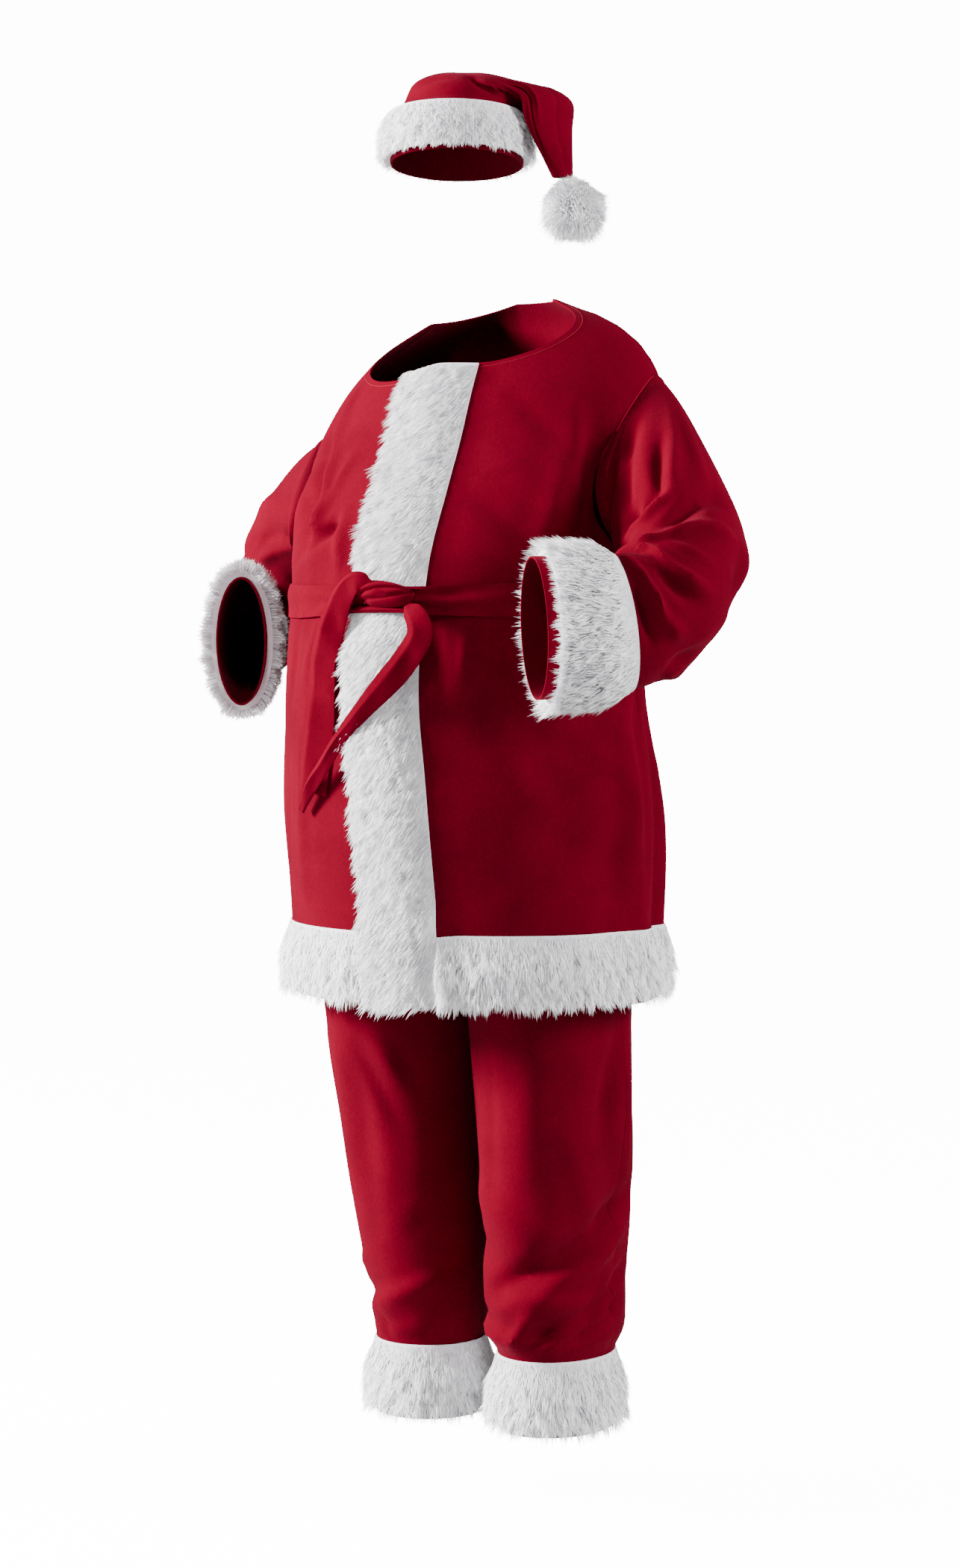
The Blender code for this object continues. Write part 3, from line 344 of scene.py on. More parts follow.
CROWN = rows(CrownSection,
    (0.000, 0.0000, 0.000, 1.7090, 0.0830, 0.0980, 0, 0),
    (0.220, 0.0000, 0.000, 1.7680, 0.0815, 0.0965, 0, 0),
    (0.260, 0.0070, 0.001, 1.7740, 0.0760, 0.0935, 3, 0),
    (0.330, 0.0150, 0.003, 1.7880, 0.0722, 0.0900, 10, 2),
    (0.399, 0.0290, 0.004, 1.7975, 0.0635, 0.0840, 18, 5),
    (0.534, 0.0600, -0.002, 1.8010, 0.0380, 0.0740, 33, 12),
    (0.661, 0.0900, -0.010, 1.7955, 0.0150, 0.0640, 69, 24),
    (0.767, 0.1130, -0.020, 1.7840, 0.0145, 0.0510, 153, 35),
    (0.866, 0.1170, -0.033, 1.7510, 0.0135, 0.0385, 184, 42),
    (1.000, 0.1330, -0.034, 1.6885, 0.0100, 0.0150, 180, 45))
CROWN_FOLDS = rows(Fold,
    (60, 0.62, 40, 0.84, 0.012, -0.006), (100, 0.58, 110, 0.80, 0.012, -0.005),
    (20, 0.44, 84, 0.56, 0.013, -0.006), (300, 0.46, 250, 0.62, 0.014, -0.006),
    (160, 0.34, 200, 0.40, 0.014, 0.005))

TAIL_A = rows(TailStation,
    (-1.5, 1.1850, 0.0085, 0.0300, 0.000, 0.0020),
    (-6.0, 1.1865, 0.0120, 0.0340, 0.001, 0.0030),
    (-10.0, 1.1690, 0.0145, 0.0300, 0.003, 0.0040),
    (-13.0, 1.1440, 0.0160, 0.0250, 0.005, 0.0040),
    (-15.2, 1.1200, 0.0170, 0.0225, 0.006, 0.0040),
    (-18.0, 1.0920, 0.0180, 0.0170, 0.007, 0.0040),
    (-19.6, 1.0620, 0.0190, 0.0125, 0.007, 0.0040),
    (-21.2, 1.0300, 0.0200, 0.0110, 0.007, 0.0040),
    (-23.6, 0.9900, 0.0210, 0.0100, 0.007, 0.0040),
    (-25.8, 0.9550, 0.0210, 0.0095, 0.006, 0.0030),
    (-27.2, 0.9320, 0.0200, 0.0090, 0.006, 0.0030))
TAIL_B = rows(TailStation,
    (8.95, 1.1602, 0.0100, 0.0180, 0.000, 0.0020),
    (12.6, 1.1420, 0.0145, 0.0265, -0.001, 0.0030),
    (13.2, 1.1180, 0.0165, 0.0300, -0.002, 0.0040),
    (10.2, 1.0930, 0.0160, 0.0310, 0.001, 0.0040),
    (4.8, 1.0660, 0.0150, 0.0310, 0.003, 0.0030),
    (-2.6, 1.0330, 0.0110, 0.0300, 0.003, 0.0030),
    (-11.0, 1.0000, 0.0080, 0.0250, 0.002, 0.0040),
    (-19.0, 0.9660, 0.0085, 0.0190, 0.002, 0.0040),
    (-26.5, 0.9350, 0.0080, 0.0165, 0.002, 0.0035),
    (-32.5, 0.9080, 0.0045, 0.0120, 0.001, 0.0020))

# Creases finer than the tables above hold, placed one by one.
JACKET_CREASES = rows(Fold,
    (26, 1.415, 56, 1.315, 0.012, -0.0051), (22, 1.350, 54, 1.262, 0.014, 0.0046),
    (18, 1.300, 50, 1.215, 0.012, -0.0043), (60, 1.215, 80, 1.150, 0.010, -0.0040),
    (56, 1.385, 61, 1.315, 0.016, -0.0085), (60, 1.315, 69, 1.225, 0.023, -0.0130),
    (46, 1.400, 54, 1.270, 0.016, 0.0050), (90, 1.060, 84, 0.985, 0.010, -0.0060),
    (84, 0.985, 83, 0.780, 0.013, -0.0065), (77, 1.030, 74, 0.800, 0.013, 0.0045),
    (36, 1.027, 70, 0.953, 0.018, -0.0042), (28, 0.992, 53, 0.892, 0.020, 0.0042),
    (-56, 1.440, -43, 1.374, 0.013, -0.0125), (-43, 1.374, -41, 1.262, 0.012, -0.0145),
    (-49, 1.483, -38, 1.389, 0.010, 0.0080), (-38, 1.389, -34, 1.318, 0.009, 0.0095),
    (-34, 1.318, -35, 1.240, 0.008, 0.0100), (-27, 1.371, -30, 1.318, 0.009, 0.0055),
    (-30, 1.318, -34, 1.275, 0.008, 0.0050), (-26, 1.268, -31, 1.244, 0.010, -0.0190),
    (-22, 1.278, -19, 1.200, 0.009, 0.0070), (70, 1.205, 88, 1.120, 0.009, 0.0043),
    (-30, 1.262, -50, 1.205, 0.010, -0.0040), (16, 1.140, 20, 1.045, 0.008, -0.0041),
    (27, 1.142, 25, 1.070, 0.007, 0.0035), (38, 1.140, 42, 1.030, 0.009, -0.0043),
    (52, 1.142, 50, 1.075, 0.007, 0.0035), (63, 1.140, 68, 1.040, 0.009, -0.0041),
    (44, 0.880, 74, 0.845, 0.024, -0.0040), (78, 0.860, 80, 0.995, 0.007, 0.0049),
    (30, 0.790, 52, 0.830, 0.022, 0.0043), (-18, 1.145, -24, 1.040, 0.008, -0.0043),
    (-27, 1.142, -34, 1.060, 0.008, 0.0041), (-40, 1.140, -44, 1.050, 0.009, -0.0043),
    (-58, 1.140, -56, 1.060, 0.008, -0.0041), (-36, 1.000, -40, 0.800, 0.012, 0.0041),
    (-50, 0.980, -56, 0.790, 0.014, -0.0049), (-68, 1.020, -66, 0.840, 0.012, 0.0043),
    (120, 1.145, 124, 1.040, 0.010, -0.0043), (138, 1.145, 136, 1.060, 0.009, 0.0038),
    (156, 1.142, 160, 1.020, 0.010, -0.0046), (178, 1.142, 176, 1.050, 0.009, 0.0041),
    (200, 1.142, 204, 1.030, 0.010, -0.0046), (222, 1.145, 220, 1.060, 0.009, 0.0038),
    (132, 1.330, 168, 1.395, 0.016, -0.0049), (228, 1.330, 192, 1.400, 0.016, -0.0049),
    (140, 1.250, 176, 1.300, 0.014, 0.0043), (222, 1.255, 186, 1.305, 0.014, 0.0043),
    (162, 0.900, 190, 0.870, 0.022, -0.0049))
SLEEVE_CREASES = {
    "left": rows(Fold,
        (18, 0.210, 22, 0.295, 0.0070, -0.0091), (22, 0.295, 42, 0.325, 0.0080, -0.0109),
        (7, 0.220, 11, 0.290, 0.0075, 0.0082), (14, 0.300, 40, 0.358, 0.0075, 0.0109),
        (40, 0.358, 84, 0.335, 0.0080, 0.0091), (46, 0.285, 66, 0.312, 0.0090, -0.0104),
        (-46, 0.275, -16, 0.312, 0.0140, -0.0112), (-16, 0.315, 18, 0.408, 0.0100, -0.0134),
        (36, 0.535, 14, 0.465, 0.0070, 0.0109), (14, 0.465, -10, 0.405, 0.0080, 0.0109),
        (-10, 0.405, -48, 0.385, 0.0100, 0.0082), (34, 0.575, 22, 0.552, 0.0070, 0.0082),
        (22, 0.555, -6, 0.600, 0.0075, 0.0091), (-6, 0.605, -52, 0.560, 0.0085, 0.0087),
        (-14, 0.655, -54, 0.595, 0.0090, -0.0109), (24, 0.735, -10, 0.722, 0.0070, 0.0091),
        (-10, 0.722, -48, 0.705, 0.0075, 0.0118), (-48, 0.705, -74, 0.650, 0.0090, 0.0082),
        (-20, 0.768, -62, 0.752, 0.0080, -0.0118), (12, 0.500, -38, 0.495, 0.0060, 0.0044),
        (-2, 0.125, -25, 0.262, 0.0080, 0.0059), (6, 0.150, 3, 0.300, 0.0090, 0.0065),
        (52, 0.100, 56, 0.190, 0.0120, -0.0130), (56, 0.190, 62, 0.285, 0.0130, -0.0130),
        (34, 0.130, 33, 0.250, 0.0120, 0.0060), (-86, 0.385, -76, 0.475, 0.0280, -0.0160),
        (246, 0.660, 270, 0.655, 0.0240, -0.0110), (34, 0.640, 80, 0.690, 0.0080, -0.0091),
        (150, 0.700, 200, 0.760, 0.0080, -0.0073), (140, 0.500, 192, 0.560, 0.0090, 0.0073),
        (204, 0.300, 246, 0.380, 0.0120, -0.0082), (214, 0.620, 262, 0.700, 0.0110, 0.0073)),
    "right": rows(Fold,
        (56, 0.340, 140, 0.460, 0.009, -0.0050), (46, 0.215, 88, 0.138, 0.0110, 0.0120),
        (88, 0.138, 128, 0.060, 0.0100, 0.0120), (50, 0.115, 100, 0.060, 0.0100, -0.0100),
        (86, 0.235, 112, 0.181, 0.0130, -0.0145), (112, 0.181, 136, 0.080, 0.0110, -0.0130),
        (104, 0.262, 118, 0.206, 0.0100, 0.0110), (118, 0.206, 144, 0.080, 0.0090, 0.0100),
        (64, 0.580, 130, 0.500, 0.009, 0.0045), (30, 0.640, 110, 0.700, 0.009, -0.0045),
        (350, 0.400, 50, 0.340, 0.012, 0.0035), (-20, 0.600, 30, 0.680, 0.010, -0.0035),
        (230, 0.400, 290, 0.300, 0.012, -0.0040), (220, 0.660, 280, 0.600, 0.011, 0.0040),
        (140, 0.240, 190, 0.320, 0.010, -0.0040)),
}
LEG_CREASES = {
    "left": rows(Fold,
        (98, 0.408, 60, 0.369, 0.0170, -0.0170), (60, 0.369, 18, 0.329, 0.0180, -0.0175),
        (18, 0.329, -32, 0.292, 0.0150, -0.0140), (96, 0.372, 58, 0.331, 0.0140, 0.0120),
        (56, 0.330, 16, 0.293, 0.0140, 0.0110), (104, 0.314, 84, 0.283, 0.0115, -0.0150),
        (84, 0.283, 44, 0.264, 0.0110, -0.0145), (44, 0.264, 6, 0.241, 0.0105, -0.0120),
        (102, 0.299, 72, 0.269, 0.0078, 0.0102), (100, 0.281, 74, 0.254, 0.0078, -0.0109),
        (74, 0.254, 38, 0.231, 0.0060, -0.0113), (-12, 0.226, 15, 0.272, 0.0091, 0.0094),
        (2, 0.221, 30, 0.250, 0.0060, -0.0065), (84, 0.645, 68, 0.505, 0.0130, -0.0125),
        (92, 0.655, 96, 0.430, 0.0080, 0.0052), (-70, 0.245, -10, 0.228, 0.0080, 0.0052),
        (40, 0.500, 62, 0.380, 0.0130, 0.0046), (-20, 0.600, -26, 0.420, 0.0140, -0.0046),
        (76, 0.660, 84, 0.480, 0.0120, 0.0039), (106, 0.500, 116, 0.320, 0.0130, 0.0046),
        (150, 0.560, 146, 0.380, 0.0140, -0.0046), (196, 0.640, 190, 0.440, 0.0140, 0.0046),
        (130, 0.240, 190, 0.252, 0.0090, 0.0052)),
    "right": rows(Fold,
        (-8, 0.615, -30, 0.535, 0.010, 0.0060), (6, 0.600, -16, 0.505, 0.011, -0.0060),
        (28, 0.234, 10, 0.210, 0.007, -0.0070), (-36, 0.300, 24, 0.262, 0.009, 0.0055),
        (34, 0.600, 40, 0.400, 0.013, 0.0032), (-60, 0.420, -20, 0.360, 0.012, -0.0035),
        (-10, 0.240, 60, 0.228, 0.008, -0.0045), (30, 0.320, 84, 0.296, 0.009, 0.0035),
        (76, 0.640, 80, 0.460, 0.012, -0.0030), (110, 0.520, 118, 0.330, 0.013, 0.0035),
        (150, 0.540, 142, 0.370, 0.014, -0.0035), (190, 0.620, 186, 0.430, 0.014, 0.0032),
        (126, 0.244, 200, 0.256, 0.009, -0.0045)),
}
CROWN_CREASES = rows(Fold,
    (-18, 0.480, 16, 0.360, 0.007, -0.0070), (16, 0.360, 40, 0.290, 0.008, -0.0075),
    (-4, 0.520, 34, 0.400, 0.008, 0.0050), (-20, 0.640, -27, 0.850, 0.005, -0.0050),
    (-34, 0.600, -46, 0.840, 0.006, 0.0045), (-4, 0.660, 2, 0.900, 0.006, 0.0045),
    (-27, 0.850, -18, 0.950, 0.004, -0.0035), (-46, 0.315, -22, 0.362, 0.007, -0.0035),
    (-72, 0.300, -48, 0.372, 0.009, 0.0040), (30, 0.50, 60, 0.74, 0.006, -0.0040),
    (44, 0.48, 76, 0.70, 0.006, 0.0030), (330, 0.44, 20, 0.47, 0.010, 0.0030),
    (84, 0.60, 96, 0.90, 0.006, -0.0030), (200, 0.50, 170, 0.70, 0.010, -0.0030))


def ease(low: float, high: float, at: Array) -> Array:
    """A smooth rise from 0 below low to 1 above high."""
    share = np.clip((np.asarray(at, float) - low) / (high - low), 0.0, 1.0)
    return share * share * (3 - 2 * share)


def faded(value: Array | float, ends: Sequence[float], at: Array) -> Array:
    """A value that rises from 0 between two places and falls back to it between two others."""
    rise_from, rise_to, fall_from, fall_to = ends
    return value * ease(rise_from, rise_to, at) * (1 - ease(fall_from, fall_to, at))


def unit(vectors: Array) -> Array:
    """The vectors at length one."""
    return vectors / np.maximum(np.linalg.norm(vectors, axis=-1, keepdims=True), 1e-12)


def placed(x: Array, y: Array, height: Array) -> Array:
    """Points from two level coordinates and a height above the floor."""
    return np.stack(np.broadcast_arrays(x, y, height - NECK_BASE_HEIGHT), axis=-1)


def sines(turn: Array) -> tuple[Array, Array]:
    """The sine and cosine of a turn in degrees."""
    return np.sin(np.radians(turn)), np.cos(np.radians(turn))


def matched(turn: Array, along: Array) -> list[Array]:
    """Turns and places as arrays of one shape."""
    return np.broadcast_arrays(np.asarray(turn, float), np.asarray(along, float))


def spread(low: Array, high: Array, count: int) -> Array:
    """Evenly spaced columns, count steps wide, between two values of each row."""
    low, high = matched(low, high)
    return low[..., None] + (high - low)[..., None] * np.linspace(0, 1, count + 1)


def ring_turns(count: int) -> Array:
    """Evenly spaced turns all the way round."""
    return np.arange(count) * 360 / count


def each_column(levels: Array, turns: Array) -> Array:
    """The level of each row, for every column of a grid of turns."""
    return np.broadcast_to(levels[:, None], turns.shape)


class Table:
    """Rows with named columns, read between the rows on a smooth curve."""

    def __init__(self, lines: Sequence[NamedTuple], keys: Optional[Sequence[float]] = None
                 ) -> None:
        """Takes the lines; their first column is the key unless keys are given."""
        self.kind = type(lines[0])
        self.values = np.array(lines, float)
        self.keys = self.values[:, 0] if keys is None else np.array(keys, float)
        last = len(lines) - 1
        low = np.maximum(np.arange(last + 1) - 1, 0)
        high = np.minimum(np.arange(last + 1) + 1, last)
        rise = self.values[high] - self.values[low]
        self.slopes = rise / (self.keys[high] - self.keys[low])[:, None]

    def at(self, key: Array) -> NamedTuple:
        """The row at each key, as one row whose fields are arrays of the key's shape."""
        key = np.clip(np.asarray(key, float), self.keys[0], self.keys[-1])
        index = np.clip(np.searchsorted(self.keys, key, side="right") - 1, 0, len(self.keys) - 2)
        step = self.keys[index + 1] - self.keys[index]
        s = ((key - self.keys[index]) / step)[..., None]
        step = step[..., None]
        low, high = self.values[index], self.values[index + 1]
        leaving, arriving = self.slopes[index] * step, self.slopes[index + 1] * step
        curve = ((2 * s ** 3 - 3 * s * s + 1) * low + (s ** 3 - 2 * s * s + s) * leaving
                 + (3 * s * s - 2 * s ** 3) * high + (s ** 3 - s * s) * arriving)
        return self.kind(*np.moveaxis(curve, -1, 0))


def fold_depth(folds: Sequence[Fold], turn: Array, along: Array, girth: float,
               length: float = 1.0) -> Array:
    """How far folds push the cloth out, in metres.

    Args:
        folds: The folds of the surface.
        turn: Turns round the surface, in degrees.
        along: Places along it.
        girth: Metres for each degree of turn.
        length: Metres for each unit of along.
    """
    turn, along = matched(turn, along)
    total = np.zeros(turn.shape)
    for fold in folds:
        middle = (fold.turn_from + fold.turn_to) / 2
        near = turn + 360.0 * np.round((middle - turn) / 360.0)
        start_x, start_y = fold.turn_from * girth, fold.along_from * length
        run_x, run_y = fold.turn_to * girth - start_x, fold.along_to * length - start_y
        x, y = near * girth - start_x, along * length - start_y
        share = np.clip((x * run_x + y * run_y) / (run_x * run_x + run_y * run_y), 0.0, 1.0)
        gap = np.hypot(x - share * run_x, y - share * run_y)
        taper = FOLD_END + (1 - FOLD_END) * np.sin(np.pi * share)
        total += fold.depth * taper * np.exp(-(gap / fold.width) ** 2)
    return total


# ---- the forms that the cloth lies on --------------------------------------------------------


class Surface:
    """A cloth form given by the turn round it and the place along it.

    Attributes:
        way: 1, or -1 on a mirrored form, so that directions look outwards.
        girth: Metres for each degree of turn, for the widths of folds.
        turn_step: Turn to either side at which a direction is read.
        along_step: The same along the form.
    """

    way = 1.0
    girth = 0.0
    turn_step = 0.5
    along_step = 0.002

    def points(self, turn: Array, along: Array) -> Array:
        """Points of the outer face."""
        raise NotImplementedError

    def normals(self, turn: Array, along: Array) -> Array:
        """Outward directions at the same places as points."""
        round_it = (self.points(turn + self.turn_step, along)
                    - self.points(turn - self.turn_step, along))
        down_it = (self.points(turn, along + self.along_step)
                   - self.points(turn, along - self.along_step))
        return self.way * unit(np.cross(round_it, down_it))


def shoulder_drop(height: Array, out: Array) -> Array:
    """How far the lower, right shoulder hangs at a distance out from the middle."""
    return SHOULDER_SLOPE_DROP * ease(SLOPE_FROM, SLOPE_FULL, height) * out / SLOPE_OUT


class JacketSurface(Surface):
    """The jacket: turn 0 is the front, 90 the wearer's left, along a row's height at the side."""

    girth = 0.0040

    def __init__(self, folds: Sequence[Fold]) -> None:
        """Takes the folds that the form carries."""
        self.rings = Table(TORSO_RINGS)
        self.folds = folds

    def cloth(self, turn: Array, height: Array) -> Array:
        """Points at a turn and a true height."""
        ring = self.rings.at(height)
        sine, cosine = sines(turn)
        swell = 1.0 + ring.boxy * (2 * sine * cosine) ** 2
        depth = np.where(cosine > 0, ring.front, ring.back)
        x, y = ring.half_width * sine * swell, -depth * cosine * swell
        push = 1.0 + fold_depth(self.folds, turn, height, self.girth) / np.hypot(x, y)
        x, y = x * push + ring.shift, y * push + ring.lean
        return placed(x, y, height - shoulder_drop(height, np.maximum(-x, 0.0)))

    @staticmethod
    def row_height(side_height: Array, turn: Array) -> Array:
        """A row's height at a turn: the rows above the underarm dip in front."""
        front = np.maximum(sines(turn)[1], 0.0)
        share = (side_height - UNDERARM_HEIGHT) / (NECK_SIDE_HEIGHT - UNDERARM_HEIGHT)
        return side_height - NECK_FRONT_DROP * front ** 1.5 * np.maximum(share, 0.0)

    def points(self, turn: Array, along: Array) -> Array:
        """Points of the outer face."""
        return self.cloth(turn, self.row_height(along, turn))

    def width_turn(self, metres: float, side_height: Array) -> Array:
        """The turn that a width on the cloth stands for, at each row."""
        ring = self.rings.at(self.row_height(side_height, 0.0))
        return np.degrees(metres / ring.half_width)


def armhole_turn(side_height: Array) -> Array:
    """Half the armhole's opening in degrees at each row, and 0 above and below it."""
    share = (side_height - ARM_MID) / ARM_HALF
    return ARMHOLE_HALF_TURN * np.sqrt(np.maximum(1 - share * share, 0.0))


class SleeveSurface(Surface):
    """A sleeve: turn 0 is its top, 90 its front, along 0 the armhole and 1 the hand's edge."""

    turn_step = 1.0
    along_step = 0.004
    girth = 0.0013
    fold_ends = (0.02, 0.20, 0.70, 0.78)
    crease_ends = (0.06, 0.16, 0.76, 0.81)
    stride = 0.02             # how far ahead and behind the sleeve's run is read
    head = 0.30               # share over which the armhole's edge blends into the tube
    seat = 0.06               # share over which the sleeve comes to stand off the body
    sewn = 0.01               # share beside the armhole that stays where it is sewn

    def __init__(self, side_name: str) -> None:
        """Takes the side, left or right."""
        self.side = 1.0 if side_name == "left" else -1.0
        self.way = self.side
        stations = SLEEVES[side_name]
        self.last = len(stations) - 1
        self.stations = Table(stations, range(len(stations)))
        self.folds = SLEEVE_FOLDS[side_name]
        self.creases = SLEEVE_CREASES[side_name]
        self.body = JacketSurface(JACKET_FOLDS)

    def place(self, share: Array) -> Station:
        """The section at a share of the stations."""
        return self.stations.at(np.clip(share, 0.0, 1.0) * self.last)

    def armhole(self, turn: Array) -> Array:
        """The armhole's edge, a little inside it, with the wearer's left as +X."""
        sine, cosine = sines(turn)
        inside = 1 - ARMHOLE_INSET / ARM_HALF
        opening = ARMHOLE_HALF_TURN * inside * sine
        point = self.body.points(self.side * (90 - opening), ARM_MID + ARM_HALF * inside * cosine)
        point[..., 0] *= self.side
        return point

    def clear(self, point: Array, clearance: Array) -> Array:
        """Moves points out until they only rest near the jacket's side."""
        height = point[..., 2] + NECK_BASE_HEIGHT
        if self.side < 0:
            height = height + shoulder_drop(height, np.abs(point[..., 0]))
        ring = self.body.rings.at(height)
        x, y = point[..., 0] - self.side * ring.shift, point[..., 1] - ring.lean
        depth = np.where(y < 0, ring.front, ring.back)
        turn = np.degrees(np.arctan2(x / ring.half_width, -y / depth))
        cloth = self.body.cloth(self.side * turn, height)
        edge = np.hypot((cloth[..., 0] - ring.shift) * self.side,
                        cloth[..., 1] - ring.lean) + clearance
        reach = np.maximum(np.hypot(x, y), 1e-6)
        more = np.where((reach < edge) & (height <= SHOULDER_TIP_HEIGHT), edge / reach - 1, 0.0)
        moved = point.copy()
        moved[..., 0] += x * more
        moved[..., 1] += y * more
        return moved

    def points(self, turn: Array, along: Array) -> Array:
        """Points of the outer face."""
        turn, along = matched(turn, along)
        at = np.maximum(along, 0.0)
        place = self.place(at)
        ahead, behind = self.place(at + self.stride), self.place(at - self.stride)
        run = unit(np.stack((ahead.out - behind.out, ahead.back - behind.back,
                             ahead.height - behind.height), axis=-1))
        up = unit(np.array((0.0, 0.0, 1.0)) - run * run[..., 2:])
        front = np.cross(run, up)
        sine, cosine = sines(turn + place.roll)
        push = np.zeros(turn.shape)
        for folds, ends in ((self.folds, self.fold_ends), (self.creases, self.crease_ends)):
            push += faded(fold_depth(folds, turn, along, self.girth, SLEEVE_LENGTH), ends, along)
        tube = (placed(place.out, place.back, place.height)
                + up * ((place.half_tall + push) * cosine)[..., None]
                + front * ((place.half_across + push) * sine)[..., None])
        blend = ease(0.0, self.head, along)[..., None]
        point = self.armhole(turn) * (1 - blend) + tube * blend
        top = 1 - TOP_CLOSER * np.maximum(sines(turn)[1], 0.0)
        cleared = self.clear(point, SLEEVE_CLEAR * top * ease(0.0, self.seat, along))
        point = np.where((along > self.sewn)[..., None], cleared, point)
        point[..., 0] *= self.side
        return point


class LegSurface(Surface):
    """A trouser leg: turn 0 is its front, 90 its outer side, along the height."""

    turn_step = 1.0
    girth = 0.0017
    fold_ends = (LEG_BAND_TOP, LEG_BAND_TOP + 0.03, CROTCH_HEIGHT - 0.08, CROTCH_HEIGHT)
    into_hips = (CROTCH_HEIGHT - 0.055, CROTCH_HEIGHT + 0.045)
    corner = 2.0              # turn from a seam, within which directions aren't read

    def __init__(self, side_name: str) -> None:
        """Takes the side, left or right."""
        self.side = 1.0 if side_name == "left" else -1.0
        self.way = self.side
        self.rings = Table(LEGS[side_name])
        self.hips = Table(HIP_RINGS)
        self.folds = LEG_FOLDS[side_name] + LEG_CREASES[side_name]

    def points(self, turn: Array, along: Array) -> Array:
        """Points of the outer face."""
        turn, along = matched(turn, along)
        ring, hip = self.rings.at(along), self.hips.at(along)
        sine, cosine = sines(turn)
        push = faded(fold_depth(self.folds, turn, along, self.girth), self.fold_ends, along)
        x_leg = ring.out + np.maximum((ring.half_width + push) * sine, INSEAM_GAP - ring.out)
        y_leg = ring.back - (ring.half_depth + push) * cosine
        front = cosine >= 0
        turn_hip = np.radians(np.where(front, (turn + 90) / 2, 180 - (270 - turn) / 2))
        depth = np.where(front, hip.front, hip.back)
        x_hip = hip.half_width * np.sin(turn_hip) + INSEAM_GAP
        y_hip = -depth * np.cos(turn_hip)
        blend = ease(*self.into_hips, along)
        return placed(self.side * (x_leg * (1 - blend) + x_hip * blend),
                      y_leg * (1 - blend) + y_hip * blend, along)

    def normals(self, turn: Array, along: Array) -> Array:
        """Outward directions, read a little inside the seams, where the form has a corner."""
        cosine = sines(turn)[1]
        front = np.clip(turn, self.corner - 90, 90 - self.corner)
        back = np.clip(turn, 90 + self.corner, 270 - self.corner)
        return super().normals(np.where(cosine >= 0, front, back), along)


class CrownSurface(Surface):
    """The hat: turn 0 is its front, 90 the wearer's left, along 0 its rim and 1 its tail's end."""

    turn_step = 1.0
    along_step = 0.004
    girth = 0.0014
    length = 0.33
    fold_ends = (0.26, 0.36, 0.9, 1.0)
    tilt_ends = (0.25, 0.55)  # places between which the rim's tilt runs out

    def __init__(self) -> None:
        """Reads the crown's sections."""
        self.sections = Table(CROWN)

    @staticmethod
    def on_head(x: Array, y: Array, height: Array) -> Array:
        """Points given on the hat's own axes, which look towards the wearer's left."""
        sine, cosine = sines(HAT_TURN)
        return placed(HAT_MIDDLE[0] + x * cosine - y * sine,
                      HAT_MIDDLE[1] + x * sine + y * cosine, height)

    def points(self, turn: Array, along: Array) -> Array:
        """Points of the outer face."""
        turn, along = matched(turn, along)
        section = self.sections.at(along)
        sine, cosine = sines(turn)
        push = fold_depth(CROWN_FOLDS + CROWN_CREASES, turn, along, self.girth, self.length)
        push = faded(push, self.fold_ends, along)
        across = (section.half_across + push) * sine
        deep = -(section.half_deep + push) * cosine
        lean_sine, lean_cosine = sines(section.turn)
        fall = HAT_TILT * deep * (1 - ease(*self.tilt_ends, along))
        yaw_sine, yaw_cosine = sines(section.yaw)
        side = across * lean_cosine
        return self.on_head(section.x + side * yaw_cosine + deep * yaw_sine,
                            section.y - side * yaw_sine + deep * yaw_cosine,
                            section.height - across * lean_sine - fall)


JACKET = JacketSurface(JACKET_FOLDS + JACKET_CREASES)


def lap_lift(turn: Array, side_height: Array) -> Array:
    """How far the left front stands off where it laps over the right one and its fur."""
    low = 1 - ease(HEM_BAND_TOP - 0.004, HEM_BAND_TOP + 0.05, side_height)
    under = JACKET.width_turn(LAP_UNDER, side_height)
    down = 1 - ease(*LAP_SLOPE, turn - under)
    return (CLOTH + LIFT_OVER_LAP + LIFT_OVER_FUR * low) * down


def belt_press(height: Array) -> Array:
    """1 where the belt presses the fur of the front band flat."""
    return faded(1.0, BELT_FADE, height)


def fur_height(across: Array, along: Array, reach: float = FUR) -> Array:
    """The fur's height over its backing.

    Args:
        across: 0 at the sewn edge and 1 at the free one.
        along: Place along the band, for its slow unevenness.
        reach: Height of the full pile.
    """
    rise = ease(-0.10, 0.42, across)
    fall = 1 - 0.36 * ease(0.82, 1.0, across)
    tuft = 1 + 0.07 * np.sin(along * 2.4) * np.sin(along * 1.1 + across * 5)
    return SEWN_FUR + (reach - SEWN_FUR) * rise * fall * tuft


def front_band_height(turn: Array, height: Array) -> Array:
    """The pile's height on the front band, whose sewn edge is at the wearer's left."""
    half = JACKET.width_turn(FRONT_BAND_HALF, height)
    full = fur_height((half - turn) / (2 * half), height * 60)
    return full * (1 - BELT_FLATTENS * belt_press(height))


def over_jacket(turn: Array, height: Array) -> Array:
    """The height of whatever lies outermost on the jacket at a turn."""
    half = JACKET.width_turn(FRONT_BAND_HALF, height)
    on_band = (turn >= -half - 0.01) & (turn <= half + 0.01)
    lap = lap_lift(turn, height)
    band = lap + LAY + front_band_height(turn, height)
    return np.where(on_band, band, np.where((turn > half) & (turn < 90), lap, 0.0))


# ---- meshes --------------------------------------------------------------------------------


def linked(name: str, data: bpy.types.ID) -> Piece:
    """A new object in the scene."""
    made = bpy.data.objects.new(name, data)
    bpy.context.scene.collection.objects.link(made)
    return made


